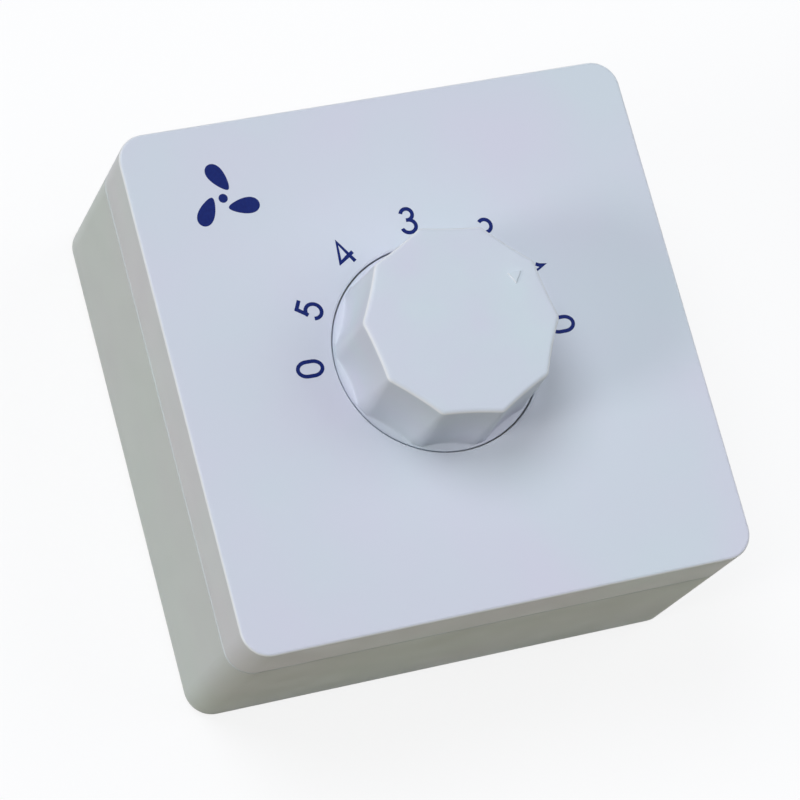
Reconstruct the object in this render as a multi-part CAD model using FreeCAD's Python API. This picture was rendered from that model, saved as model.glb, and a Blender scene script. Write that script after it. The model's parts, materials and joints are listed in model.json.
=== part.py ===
"""Fan speed control switch: a square surface box with a clip-on front cover, a ten-sided knob,
a stepped rotary switch and a tapped choke that drops the fan's voltage.

The part lies on its back. +Z is the outward normal of the front face and the knob's axis, +Y points to
the top of the face and the origin is the centre of the back face. All lengths are in millimetres.
"""
import FreeCAD, Part
import math
import os

from FreeCAD import Vector

# Outer form
BODY_SIZE = 86.0
CORNER_RADIUS = 4.5
BOX_DEPTH = 30.7
COVER_DEPTH = 11.8
BOX_WALL = 2.2
BOX_FLOOR = 2.4
COVER_WALL = 2.2
COVER_FACE = 2.2
FRONT_EDGE_RADIUS = 0.5
HOLE_BEVEL = 0.25
BACK_EDGE_BEVEL = 0.5
SEAM_BEVEL = 0.3
TONGUE_THICKNESS = 1.0
TONGUE_HEIGHT = 1.4
MOULD_GAP = 0.1
SMALLEST_CORNER = 0.5
SCREW_PLAY = 0.2

# Wall fixing and cable entry in the floor of the box
WALL_SLOT_FROM_SIDE = 13.0
WALL_SLOT_FROM_TOP = 20.0
WALL_SLOT_WIDTH = 4.6
WALL_SLOT_LENGTH = 8.6
CABLE_ENTRY_X = 24.0
CABLE_ENTRY_Y = 16.0
CABLE_ENTRY_FROM_TOP = 19.0
CABLE_ENTRY_CORNER = 3.0

# Screws that hold the mounting frame to the box
FRAME_SCREW_FROM_SIDE = 12.85
FRAME_SCREW_RADIUS = 2.0
FRAME_SCREW_LENGTH = 14.0
FRAME_SCREW_FOOT_ROOM = 1.0
FRAME_SCREW_HEAD_RADIUS = 3.5
FRAME_SCREW_HEAD_HEIGHT = 2.4
INSERT_RADIUS = 2.9
INSERT_LENGTH = 8.0
POST_WALL = 1.8
POST_RIB = 1.6
CORNER_LEDGE = 8.0

# Mounting frame
FRAME_GAP = 0.5
FRAME_TO_COVER = 0.6
FRAME_PLATE = 2.0
FRAME_WALL = 1.6
FRAME_SINK = 2.0
WELL_WALL = 1.3
WELL_GAP = 0.4

# Snap legs of the cover
SNAP_WIDTH = 8.0
SNAP_THICKNESS = 1.4
SNAP_X = 18.0
SNAP_FROM_EDGE = 6.0
SNAP_BARB = 0.8
SNAP_BARB_LENGTH = 1.5
SNAP_LIFT = 0.3
SNAP_FLEX = 1.0
SNAP_SIDE_PLAY = 0.3

# Rotary switch
SHAFT_RADIUS = 3.0
SHAFT_FLAT = 2.3
SHAFT_REACH = 12.0
JOURNAL_RADIUS = 2.0
JOURNAL_LENGTH = 0.8
RUNNING_GAP = 0.05
SEAT_GAP = 0.02
BUSHING_RADIUS = 5.0
BUSHING_REACH = 2.4
BUSHING_BEVEL = 0.4
FLANGE_INSET = 0.6
FLANGE_THICKNESS = 1.2
KEY_PIN_RADIUS = 1.0
KEY_PIN_FROM_RIM = 3.4
KEY_PIN_LENGTH = 1.5
WASHER_RADIUS = 7.5
WASHER_BAND = 1.2
WASHER_THICKNESS = 0.6
WASHER_TEETH = 8
WASHER_TOOTH_WIDTH = 1.6
NUT_ACROSS_FLATS = 13.0
NUT_THICKNESS = 2.4
NUT_BEVEL = 0.5
CASE_RADIUS = 13.0
CASE_WALL = 1.4
CASE_HEIGHT = 10.0
CASE_SHAFT_GAP = 0.3
WHEEL_THICKNESS = 4.0
WHEEL_TO_CASE = 0.2
STEP_ANGLE = 30.0
NOTCH_RADIUS = 1.3
NOTCH_DEPTH = 0.6
LUG_TO_CASE = 0.6
LUG_LENGTH = 4.0
LUG_WIDTH = 4.0
STOP_GAP = 0.15
STOP_FROM_LUG_END = 1.7
STOP_RADIUS = 2.1
NOSE_RADIUS = 0.9
NOSE_GAP = 0.15
SPRING_THICKNESS = 0.35
SPRING_WIDTH = 3.4
SPRING_FROM_WHEEL = 1.6
SPRING_END_GAP = 0.5
SPRING_SEAT_GAP = 0.1
SPRING_SEAT_INSET = 1.2
SPRING_POST_RADIUS = 0.7
SPRING_PAD_WIDTH = 2.4
SPRING_PAD_DEPTH = 4.0
WIPER_THICKNESS = 0.4
WIPER_RING_TO_CONTACT = 2.8
WIPER_WIDTH = 2.4
WIPER_SHOULDER = 0.9
WIPER_BACK_SHOULDER = 1.4
WIPER_PAD = 1.4
CLIP_THICKNESS = 0.6
CLIP_RADIUS = 4.6
CLIP_GROOVE = 0.5
CLIP_MOUTH = 4.0
CLIP_MOUTH_START = 1.0
WAFER_THICKNESS = 1.6
TIE_SCREW_RADIUS = 1.0
TIE_SCREW_HEAD = 1.9
TIE_SCREW_HEAD_HEIGHT = 1.4
CONTACT_THICKNESS = 0.4
CONTACT_FROM_RIM = 4.0
CONTACT_LENGTH = 2.8
CONTACT_WIDTH = 3.0
RIVET_RADIUS = 0.9
COMMON_RIVET_RADIUS = 0.7
TAG_WIDTH = 2.4
TAG_REACH = 3.4
COMMON_RING_TO_CONTACT = 2.0
COMMON_RING_WIDTH = 2.0
CONTACT_GAP = 0.1
FIRST_SPEED_ANGLE = 30.0
SPEED_COUNT = 5

# Knob, whose skirt lies sunk in the cover's hole
KNOB_PROUD = 14.5
KNOB_SINK = 0.4
KNOB_SKIRT = 0.7
KNOB_TO_COVER = 0.5
KNOB_BASE_RADIUS = 16.75
KNOB_TOP_RADIUS = 15.6
KNOB_SIDES = 10
KNOB_TOP_WALL = 2.0
KNOB_SIDE_WALL = 1.6
KNOB_TOP_EDGE = 0.45
KNOB_TOP_EDGE_INSET = 0.4
KNOB_TIP_INSET = 0.05
RIDGE_ROUND_BASE = 2.8
RIDGE_ROUND_TOP = 1.4
FLUTE_AT_SKIRT = 0.35
FLUTE_DEEPEST = 0.7
FLUTE_DEEPEST_RISE = 2.4
FLUTE_AT_TOP = 0.15
HUB_RADIUS = 5.2
HUB_TO_BUSHING = 0.6
HUB_SLIT = 1.0
KNOB_RIB = 1.0
KNOB_RIB_HEIGHT = 4.0
KNOB_RIB_COUNT = 5
KNOB_CLIP_THICKNESS = 0.6
KNOB_CLIP_WIDTH = 3.0
KNOB_CLIP_OPENING = 6.0
KNOB_CLIP_RISE = 0.4
POINTER_PLACE = 11.95
POINTER_LENGTH = 2.3
POINTER_WIDTH = 2.4
POINTER_RISE = 0.25
POINTER_TOP_SHARE = 0.8
POINTER_ANGLE = 27.5
REST_ANGLE = 30.0

# Choke
STACK = 11.0
CENTRE_LEG = 10.0
OUTER_LEG = 5.0
WINDOW_WIDTH = 7.5
YOKE = 5.0
CORE_RIB_HEIGHT = 2.5
CORE_RIB_WIDTH = 1.6
CORE_RIB_SPACING = 20.0
CORE_TO_FLOOR = 2.8
COIL_FROM_SIDE = 5.2
COIL_TO_SWITCH = 1.8
BOBBIN_WALL = 1.0
BOBBIN_GAP = 0.2
BOBBIN_CORNER = 1.0
WINDING_CORNER = 2.0
TAPE_THICKNESS = 0.3
TAPE_INSET = 0.5
BRACKET_THICKNESS = 0.8
BRACKET_BEND = 0.8
BRACKET_GAP = 0.2
BRACKET_FOOT = 11.0
BRACKET_HOLE_FROM_LEG = 7.0
BRACKET_BOSS_HEIGHT = 4.0
BRACKET_BOSS_RADIUS = 3.0
M3_RADIUS = 1.5
M3_PILOT = 1.25
M3_HEAD_RADIUS = 2.7
M3_HEAD_HEIGHT = 1.9
BRACKET_SCREW_LENGTH = 4.2

# Terminal block
TERMINAL_X = 24.0
TERMINAL_Y = 14.0
TERMINAL_Z = 12.0
TERMINAL_FROM_TOP = 7.0
TERMINAL_PITCH = 12.0
TERMINAL_CORNER = 1.0
TERMINAL_BOSS_RADIUS = 3.4
TERMINAL_BOSS_HEIGHT = 3.2
BARREL_RADIUS = 2.8
BARREL_BORE = 1.5
BARREL_INSET = 0.5
CLAMP_SCREW_RADIUS = 1.3
CLAMP_SCREW_HEAD = 2.1
CLAMP_SCREW_HEAD_HEIGHT = 1.8
CLAMP_SCREW_HEAD_RISE = 0.4
CLAMP_SCREW_SPACING = 7.0

SCREW_SLOT_SHARE = 0.26

# Inner leads
LEAD_RADIUS = 0.7
LEAD_SIDES = 8
LEAD_PITCH = 3.4
TAP_FROM_YOKE = 3.8
TAP_RUN = 5.5
TAP_RISE = 1.0
LOAD_RUN = 5.0
LEAD_IN_BARREL = 5.0
LEAD_BEND_SHARE = 0.45

# Heights along the knob's axis
SEAM_Z = BOX_DEPTH
FACE_Z = SEAM_Z + COVER_DEPTH
COVER_INNER_Z = FACE_Z - COVER_FACE
FRAME_TOP_Z = COVER_INNER_Z - FRAME_TO_COVER
FRAME_UNDER_Z = FRAME_TOP_Z - FRAME_PLATE
FRAME_FOOT_Z = SEAM_Z - FRAME_SINK
FLANGE_Z = FRAME_UNDER_Z - FLANGE_THICKNESS
CASE_FOOT_Z = FLANGE_Z - CASE_HEIGHT
WAFER_BACK_Z = CASE_FOOT_Z - WAFER_THICKNESS
TAG_BACK_Z = WAFER_BACK_Z - CONTACT_THICKNESS
WHEEL_TOP_Z = FLANGE_Z - CASE_WALL - WHEEL_TO_CASE
WHEEL_FOOT_Z = WHEEL_TOP_Z - WHEEL_THICKNESS
WIPER_FOOT_Z = WHEEL_FOOT_Z - WIPER_THICKNESS
BUSHING_TOP_Z = FRAME_TOP_Z + WASHER_THICKNESS + NUT_THICKNESS + BUSHING_REACH
KNOB_FOOT_Z = FACE_Z - KNOB_SINK - KNOB_SKIRT
KNOB_TOP_Z = FACE_Z + KNOB_PROUD
HUB_FOOT_Z = BUSHING_TOP_Z + HUB_TO_BUSHING
SHAFT_TOP_Z = KNOB_TOP_Z - KNOB_TOP_WALL - SEAT_GAP
CORE_TOP_Z = FRAME_UNDER_Z - CORE_RIB_HEIGHT
CORE_FOOT_Z = BOX_FLOOR + CORE_TO_FLOOR
LEAD_Z = CORE_FOOT_Z + YOKE + TAP_FROM_YOKE
TERMINAL_TOP_Z = FRAME_UNDER_Z - TERMINAL_BOSS_HEIGHT
TERMINAL_FOOT_Z = TERMINAL_TOP_Z - TERMINAL_Z

# Plan sizes that follow from the above
INNER_SIZE = BODY_SIZE - 2 * max(BOX_WALL, COVER_WALL)
FRAME_SIZE = INNER_SIZE - 2 * FRAME_GAP
SNAP_OUTER_Y = BODY_SIZE / 2 - SNAP_FROM_EDGE
WALL_SLOT_SPACING_X = BODY_SIZE - 2 * WALL_SLOT_FROM_SIDE
WALL_SLOT_SPACING_Y = BODY_SIZE - 2 * WALL_SLOT_FROM_TOP
CABLE_ENTRY_CENTRE_Y = BODY_SIZE / 2 - CABLE_ENTRY_FROM_TOP
FRAME_SCREW_SPACING = BODY_SIZE - 2 * FRAME_SCREW_FROM_SIDE
TERMINAL_CENTRE_Y = BODY_SIZE / 2 - TERMINAL_FROM_TOP - TERMINAL_Y / 2
POST_RADIUS = INSERT_RADIUS + POST_WALL
WELL_RADIUS = FRAME_SCREW_HEAD_RADIUS + WELL_GAP
COVER_HOLE_RADIUS = KNOB_BASE_RADIUS + KNOB_TO_COVER
CORE_WIDTH = CENTRE_LEG + 2 * WINDOW_WIDTH + 2 * OUTER_LEG
COIL_FAR_Y = -(BODY_SIZE / 2 - COIL_FROM_SIDE)
COIL_NEAR_Y = -(CASE_RADIUS + COIL_TO_SWITCH)
COIL_HALF_DEPTH = (COIL_NEAR_Y - COIL_FAR_Y) / 2
CHOKE_Y = (COIL_NEAR_Y + COIL_FAR_Y) / 2
FLANGE_RADIUS = CASE_RADIUS - FLANGE_INSET
KEY_PIN_PLACE = FLANGE_RADIUS - KEY_PIN_FROM_RIM
CASE_CAVITY_RADIUS = CASE_RADIUS - CASE_WALL
LUG_REACH = CASE_CAVITY_RADIUS - LUG_TO_CASE
WHEEL_RADIUS = LUG_REACH - LUG_LENGTH
STOP_PLACE_X = LUG_REACH - STOP_FROM_LUG_END
SPRING_PLACE = WHEEL_RADIUS + SPRING_FROM_WHEEL
SPRING_HALF_LENGTH = math.sqrt(CASE_CAVITY_RADIUS ** 2 - SPRING_PLACE ** 2) - SPRING_END_GAP
CONTACT_PLACE = CASE_RADIUS - CONTACT_FROM_RIM
COMMON_RING_OUTER = CONTACT_PLACE - CONTACT_LENGTH / 2 - COMMON_RING_TO_CONTACT
COMMON_RING_INNER = COMMON_RING_OUTER - COMMON_RING_WIDTH
WIPER_RING = CONTACT_PLACE - WIPER_RING_TO_CONTACT
WIPER_ROOT = (WIPER_RING - SHAFT_RADIUS) / 2
TAG_END_RADIUS = CASE_RADIUS + TAG_REACH
LEAD_TAG_RADIUS = TAG_END_RADIUS - TAG_WIDTH / 2
STOP_PLACE_Y = -(LUG_WIDTH / 2 + STOP_GAP + STOP_RADIUS)
TOLERANCE = 1e-4


def block(size_x, size_y, z_low, z_high, x=0.0, y=0.0):
    """Rectangular block centred on x, y between two heights."""
    return Part.makeBox(size_x, size_y, z_high - z_low, Vector(x - size_x / 2, y - size_y / 2, z_low))


def disc(radius, z_low, z_high, x=0.0, y=0.0):
    """Upright cylinder between two heights."""
    return Part.makeCylinder(radius, z_high - z_low, Vector(x, y, z_low))


def ring(outer, inner, z_low, z_high, x=0.0, y=0.0):
    """Upright tube between two heights."""
    return disc(outer, z_low, z_high, x, y).cut(disc(inner, z_low, z_high, x, y))


def edges_at(shape, height):
    """Edges that lie flat at one height."""
    found = []
    for edge in shape.Edges:
        box = edge.BoundBox
        if abs(box.ZMin - height) < TOLERANCE and abs(box.ZMax - height) < TOLERANCE:
            found.append(edge)
    return found


def rounded_block(size_x, size_y, corner, z_low, z_high, x=0.0, y=0.0):
    """Block with rounded upright corners."""
    shape = block(size_x, size_y, z_low, z_high, x, y)
    upright = [edge for edge in shape.Edges if edge.BoundBox.ZLength > TOLERANCE]
    return shape.makeFillet(corner, upright)


def square_block(size, inset, z_low, z_high):
    """Square block whose corners stay concentric with the body's when it is inset from it."""
    corner = max(CORNER_RADIUS - inset, SMALLEST_CORNER)
    return rounded_block(size, size, corner, z_low, z_high)


def slot(length, width, z_low, z_high, x, y):
    """Slot with round ends that runs along X."""
    middle = block(length - width, width, z_low, z_high, x, y)
    reach = (length - width) / 2
    ends = [disc(width / 2, z_low, z_high, x + side * reach, y) for side in (-1, 1)]
    return middle.multiFuse(ends).removeSplitter()


def turned(shape, angle):
    """Copy of a shape turned about the knob's axis, in degrees."""
    copy = shape.copy()
    copy.rotate(Vector(0, 0, 0), Vector(0, 0, 1), angle)
    return copy


def polar(radius, angle, z=0.0):
    """Point at a radius and an angle in degrees about the knob's axis."""
    return Vector(radius * math.cos(math.radians(angle)), radius * math.sin(math.radians(angle)), z)


def prism(points, direction):
    """Polygon pushed along a direction."""
    return Part.Face(Part.makePolygon(points + [points[0]])).extrude(direction)


def three_point_arc(start, middle, end):
    """Edge through three points."""
    return Part.Arc(start, middle, end).toShape()


def smooth_path(points, bend_radius=None):
    """Straight runs joined by tangent arcs. With no radius given each arc is as large as its runs allow."""
    edges = []
    start = points[0]
    for index in range(1, len(points) - 1):
        corner = points[index]
        before = corner - points[index - 1]
        after = points[index + 1] - corner
        turn = before.getAngle(after)
        half_tangent = math.tan(turn / 2)
        radius = bend_radius or LEAD_BEND_SHARE * min(before.Length, after.Length) / half_tangent
        setback = radius * half_tangent
        direction_in = Vector(before).normalize()
        direction_out = Vector(after).normalize()
        arc_start = corner - direction_in * setback
        arc_end = corner + direction_out * setback
        inward = (direction_out - direction_in).normalize()
        arc_middle = corner + inward * (radius / math.cos(turn / 2) - radius)
        edges.append(Part.LineSegment(start, arc_start).toShape())
        edges.append(three_point_arc(arc_start, arc_middle, arc_end))
        start = arc_end
    edges.append(Part.LineSegment(start, points[-1]).toShape())
    return Part.Wire(edges)


def swept(path, profile):
    """Solid made by a closed profile that follows a path."""
    return Part.Solid(path.makePipeShell([profile], True, False))


def strip(points, bend_radius, thickness, width, across):
    """Bent flat strip. Its middle line follows the points and its width lies along one direction."""
    path = smooth_path(points, bend_radius)
    along = (points[1] - points[0]).normalize()
    side = along.cross(across).normalize() * (thickness / 2)
    half = Vector(across) * (width / 2)
    first = points[0]
    corners = [first + side + half, first - side + half, first - side - half, first + side - half]
    return swept(path, Part.makePolygon(corners + [corners[0]]))


def screw(head_radius, head_height, shank_radius, length):
    """Slotted cheese head screw: the head stands on z = 0 and the shank points down."""
    head = disc(head_radius, 0, head_height)
    shank = disc(shank_radius, -length, 0)
    slot_width = head_radius * SCREW_SLOT_SHARE
    saw_cut = block(2 * head_radius, slot_width, head_height / 2, head_height)
    return head.fuse(shank).cut(saw_cut)


def moved(shape, x, y, z):
    """Copy of a shape moved by an offset."""
    copy = shape.copy()
    copy.translate(Vector(x, y, z))
    return copy


def flipped(shape):
    """Copy of a shape turned upside down about the X axis."""
    copy = shape.copy()
    copy.rotate(Vector(0, 0, 0), Vector(1, 0, 0), 180)
    return copy


def front_cover():
    """Clip-on cover: a shallow tray with a round hole that the knob sits in and four barbed legs."""
    outer = square_block(BODY_SIZE, 0, SEAM_Z, FACE_Z)
    outer = outer.makeFillet(FRONT_EDGE_RADIUS, edges_at(outer, FACE_Z))
    outer = outer.makeChamfer(SEAM_BEVEL, edges_at(outer, SEAM_Z))
    cover = outer.cut(square_block(BODY_SIZE - 2 * COVER_WALL, COVER_WALL, SEAM_Z, COVER_INNER_Z))
    rebate_inset = BOX_WALL - TONGUE_THICKNESS - MOULD_GAP
    rebate_top = SEAM_Z + TONGUE_HEIGHT + MOULD_GAP
    cover = cover.cut(square_block(BODY_SIZE - 2 * rebate_inset, rebate_inset, SEAM_Z, rebate_top))
    cover = cover.cut(disc(COVER_HOLE_RADIUS, COVER_INNER_Z, FACE_Z))
    bevel_foot = Vector(0, 0, FACE_Z - HOLE_BEVEL)
    cover = cover.cut(Part.makeCone(COVER_HOLE_RADIUS, COVER_HOLE_RADIUS + HOLE_BEVEL, HOLE_BEVEL, bevel_foot))
    return cover.multiFuse([snap_leg(x, side) for x in (-SNAP_X, SNAP_X) for side in (-1, 1)])


def snap_leg(x, side):
    """Leg that passes a slot in the frame and hooks under its plate. side is -1 or 1 along Y."""
    barb_top = FRAME_UNDER_Z - SNAP_LIFT
    barb_foot = barb_top - SNAP_BARB_LENGTH
    inner_y = SNAP_OUTER_Y - SNAP_THICKNESS
    outline = [
        Vector(x - SNAP_WIDTH / 2, side * inner_y, COVER_INNER_Z),
        Vector(x - SNAP_WIDTH / 2, side * SNAP_OUTER_Y, COVER_INNER_Z),
        Vector(x - SNAP_WIDTH / 2, side * SNAP_OUTER_Y, barb_top),
        Vector(x - SNAP_WIDTH / 2, side * (SNAP_OUTER_Y + SNAP_BARB), barb_top),
        Vector(x - SNAP_WIDTH / 2, side * SNAP_OUTER_Y, barb_foot),
        Vector(x - SNAP_WIDTH / 2, side * inner_y, barb_foot),
    ]
    return prism(outline, Vector(SNAP_WIDTH, 0, 0))


def back_box():
    """Surface box: floor with wall slots and a cable entry, a rim tongue, two screw posts and four ledges."""
    outer = square_block(BODY_SIZE, 0, 0, SEAM_Z)
    outer = outer.makeChamfer(BACK_EDGE_BEVEL, edges_at(outer, 0))
    outer = outer.makeChamfer(SEAM_BEVEL, edges_at(outer, SEAM_Z))
    inner_size = BODY_SIZE - 2 * BOX_WALL
    tongue_inset = BOX_WALL - TONGUE_THICKNESS
    tongue_size = BODY_SIZE - 2 * tongue_inset
    tongue = square_block(tongue_size, tongue_inset, SEAM_Z - TONGUE_HEIGHT, SEAM_Z + TONGUE_HEIGHT)
    hollow = square_block(inner_size, BOX_WALL, BOX_FLOOR, SEAM_Z + TONGUE_HEIGHT)
    shell = outer.fuse(tongue).cut(hollow)
    additions = []
    for side in (-1, 1):
        post_x = side * FRAME_SCREW_SPACING / 2
        additions.append(disc(POST_RADIUS, BOX_FLOOR / 2, FRAME_FOOT_Z, post_x, 0))
        rib_length = inner_size / 2 + BOX_WALL / 2 - FRAME_SCREW_SPACING / 2
        rib_x = side * (FRAME_SCREW_SPACING / 2 + rib_length / 2)
        additions.append(block(rib_length, POST_RIB, BOX_FLOOR / 2, FRAME_FOOT_Z, rib_x, 0))
    ledge_place = inner_size / 2 - CORNER_LEDGE / 2
    full = square_block(BODY_SIZE - BOX_WALL, BOX_WALL / 2, BOX_FLOOR / 2, FRAME_FOOT_Z)
    for x in (-ledge_place, ledge_place):
        for y in (-ledge_place, ledge_place):
            ledge = corner_ledge(x, y, inner_size).common(full)
            additions.append(ledge)
    shell = shell.multiFuse(additions)
    for side in (-1, 1):
        post_x = side * FRAME_SCREW_SPACING / 2
        insert_foot = FRAME_FOOT_Z - INSERT_LENGTH
        screw_foot = SEAM_Z - FRAME_SCREW_LENGTH - FRAME_SCREW_FOOT_ROOM
        shell = shell.cut(disc(INSERT_RADIUS + SEAT_GAP, insert_foot, FRAME_FOOT_Z, post_x, 0))
        shell = shell.cut(disc(FRAME_SCREW_RADIUS + SCREW_PLAY, screw_foot, insert_foot, post_x, 0))
    for x in (-WALL_SLOT_SPACING_X / 2, WALL_SLOT_SPACING_X / 2):
        for y in (-WALL_SLOT_SPACING_Y / 2, WALL_SLOT_SPACING_Y / 2):
            shell = shell.cut(slot(WALL_SLOT_LENGTH, WALL_SLOT_WIDTH, 0, BOX_FLOOR, x, y))
    entry = rounded_block(CABLE_ENTRY_X, CABLE_ENTRY_Y, CABLE_ENTRY_CORNER, 0, BOX_FLOOR)
    return shell.cut(moved(entry, 0, CABLE_ENTRY_CENTRE_Y, 0))


def corner_ledge(x, y, inner_size):
    """Three-sided pillar in one corner of the box for the frame to stand on."""
    corner_x = math.copysign(inner_size / 2 + BOX_WALL, x)
    corner_y = math.copysign(inner_size / 2 + BOX_WALL, y)
    reach = CORNER_LEDGE + BOX_WALL
    points = [
        Vector(corner_x, corner_y, BOX_FLOOR / 2),
        Vector(corner_x - math.copysign(reach, x), corner_y, BOX_FLOOR / 2),
        Vector(corner_x, corner_y - math.copysign(reach, y), BOX_FLOOR / 2),
    ]
    return prism(points, Vector(0, 0, FRAME_FOOT_Z - BOX_FLOOR / 2))


def mounting_frame():
    """Inner frame under the cover. It carries the switch, the choke and the terminal block."""
    inset = (BODY_SIZE - FRAME_SIZE) / 2
    frame = square_block(FRAME_SIZE, inset, FRAME_FOOT_Z, FRAME_TOP_Z)
    hollow = square_block(FRAME_SIZE - 2 * FRAME_WALL, inset + FRAME_WALL, FRAME_FOOT_Z, FRAME_UNDER_Z)
    frame = frame.cut(hollow)
    additions = []
    for side in (-1, 1):
        screw_x = side * FRAME_SCREW_SPACING / 2
        additions.append(disc(WELL_RADIUS + WELL_WALL, FRAME_FOOT_Z, FRAME_UNDER_Z, screw_x, 0))
        boss_x = side * bracket_hole_x()
        boss_foot = FRAME_UNDER_Z - BRACKET_BOSS_HEIGHT
        additions.append(disc(BRACKET_BOSS_RADIUS, boss_foot, FRAME_UNDER_Z, boss_x, CHOKE_Y))
        rib_x = side * CORE_RIB_SPACING / 2
        additions.append(block(CORE_RIB_WIDTH, STACK, CORE_TOP_Z, FRAME_UNDER_Z, rib_x, CHOKE_Y))
    additions.append(disc(TERMINAL_BOSS_RADIUS, TERMINAL_TOP_Z, FRAME_UNDER_Z, 0, TERMINAL_CENTRE_Y))
    frame = frame.multiFuse(additions)
    cuts = [disc(BUSHING_RADIUS + MOULD_GAP, FRAME_UNDER_Z, FRAME_TOP_Z)]
    cuts.append(disc(KEY_PIN_RADIUS + MOULD_GAP, FRAME_UNDER_Z, FRAME_TOP_Z, 0, KEY_PIN_PLACE))
    cuts.append(disc(M3_PILOT, TERMINAL_TOP_Z, FRAME_UNDER_Z + FRAME_PLATE / 2, 0, TERMINAL_CENTRE_Y))
    for side in (-1, 1):
        screw_x = side * FRAME_SCREW_SPACING / 2
        cuts.append(disc(WELL_RADIUS, SEAM_Z, FRAME_TOP_Z, screw_x, 0))
        cuts.append(disc(FRAME_SCREW_RADIUS + SCREW_PLAY, FRAME_FOOT_Z, SEAM_Z, screw_x, 0))
        boss_foot = FRAME_UNDER_Z - BRACKET_BOSS_HEIGHT
        pilot_top = FRAME_UNDER_Z + FRAME_PLATE / 2
        cuts.append(disc(M3_PILOT, boss_foot, pilot_top, side * bracket_hole_x(), CHOKE_Y))
        for x in (-SNAP_X, SNAP_X):
            low = SNAP_OUTER_Y - SNAP_THICKNESS - SNAP_FLEX
            high = SNAP_OUTER_Y + MOULD_GAP
            slot_width = SNAP_WIDTH + 2 * SNAP_SIDE_PLAY
            cuts.append(block(slot_width, high - low, FRAME_UNDER_Z, FRAME_TOP_Z, x, side * (low + high) / 2))
    for item in cuts:
        frame = frame.cut(item)
    return frame


def frame_screws():
    """Two screws that hold the frame to the box."""
    one = screw(FRAME_SCREW_HEAD_RADIUS, FRAME_SCREW_HEAD_HEIGHT, FRAME_SCREW_RADIUS, FRAME_SCREW_LENGTH)
    return Part.makeCompound([moved(one, side * FRAME_SCREW_SPACING / 2, 0, SEAM_Z) for side in (-1, 1)])


def thread_inserts():
    """Two brass inserts pressed into the posts of the box."""
    foot = FRAME_FOOT_Z - INSERT_LENGTH
    bore = FRAME_SCREW_RADIUS + RUNNING_GAP
    inserts = []
    for side in (-1, 1):
        inserts.append(ring(INSERT_RADIUS, bore, foot, FRAME_FOOT_Z, side * FRAME_SCREW_SPACING / 2, 0))
    return Part.makeCompound(inserts)


def flatted(radius, flat, z_low, z_high, angle):
    """Round bar with one flat. The flat faces away from the given angle."""
    bar = disc(radius, z_low, z_high)
    cutter = block(2 * radius, 4 * radius, z_low, z_high, -(flat + radius), 0)
    return turned(bar.cut(cutter), angle)


def switch_shaft():
    """Shaft with a flat for the knob and the wheel, a clip groove and a journal in the contact wafer."""
    clip_top = WIPER_FOOT_Z
    foot = clip_top - CLIP_THICKNESS - CLIP_GROOVE
    round_low = WHEEL_TOP_Z
    round_high = SHAFT_TOP_Z - SHAFT_REACH
    shaft = flatted(SHAFT_RADIUS, SHAFT_FLAT, foot, round_low, REST_ANGLE)
    shaft = shaft.fuse(disc(SHAFT_RADIUS, round_low, round_high))
    shaft = shaft.fuse(flatted(SHAFT_RADIUS, SHAFT_FLAT, round_high, SHAFT_TOP_Z, REST_ANGLE))
    shaft = shaft.fuse(disc(JOURNAL_RADIUS, WAFER_BACK_Z - JOURNAL_LENGTH, foot))
    groove = ring(2 * SHAFT_RADIUS, SHAFT_RADIUS - CLIP_GROOVE, clip_top - CLIP_THICKNESS, clip_top)
    return shaft.cut(groove).removeSplitter()


def shaft_clip():
    """E-shaped clip that keeps the wheel and the wiper on the shaft."""
    low = WIPER_FOOT_Z - CLIP_THICKNESS
    clip = ring(CLIP_RADIUS, SHAFT_RADIUS - CLIP_GROOVE + SEAT_GAP, low, WIPER_FOOT_Z)
    mouth_x = -(CLIP_MOUTH_START + CLIP_RADIUS / 2)
    clip = clip.cut(block(CLIP_RADIUS, CLIP_MOUTH, low, WIPER_FOOT_Z, mouth_x, 0))
    return turned(clip, REST_ANGLE)


def switch_bushing():
    """Threaded bushing with a round flange and a key pin that stops it turning in the frame."""
    flange = disc(FLANGE_RADIUS, FLANGE_Z, FRAME_UNDER_Z)
    barrel = disc(BUSHING_RADIUS, FLANGE_Z, BUSHING_TOP_Z)
    barrel = barrel.makeChamfer(BUSHING_BEVEL, edges_at(barrel, BUSHING_TOP_Z))
    pin = disc(KEY_PIN_RADIUS, FLANGE_Z, FRAME_UNDER_Z + KEY_PIN_LENGTH, 0, KEY_PIN_PLACE)
    bushing = flange.multiFuse([barrel, pin])
    bushing = bushing.cut(disc(SHAFT_RADIUS + RUNNING_GAP, FLANGE_Z, BUSHING_TOP_Z))
    for side in (-1, 1):
        hole = disc(TIE_SCREW_RADIUS + SEAT_GAP, FLANGE_Z, FRAME_UNDER_Z, side * STOP_PLACE_X, STOP_PLACE_Y)
        bushing = bushing.cut(hole)
    return bushing.removeSplitter()


def lock_washer():
    """Washer with inner teeth under the bushing's nut."""
    top = FRAME_TOP_Z + WASHER_THICKNESS
    band_inner = WASHER_RADIUS - WASHER_BAND
    washer = ring(WASHER_RADIUS, band_inner, FRAME_TOP_Z, top)
    tooth_inner = BUSHING_RADIUS + MOULD_GAP
    tooth_length = band_inner + WASHER_BAND / 2 - tooth_inner
    tooth = block(tooth_length, WASHER_TOOTH_WIDTH, FRAME_TOP_Z, top, tooth_inner + tooth_length / 2, 0)
    teeth = [turned(tooth, index * 360.0 / WASHER_TEETH) for index in range(WASHER_TEETH)]
    return washer.multiFuse(teeth).removeSplitter()


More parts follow.
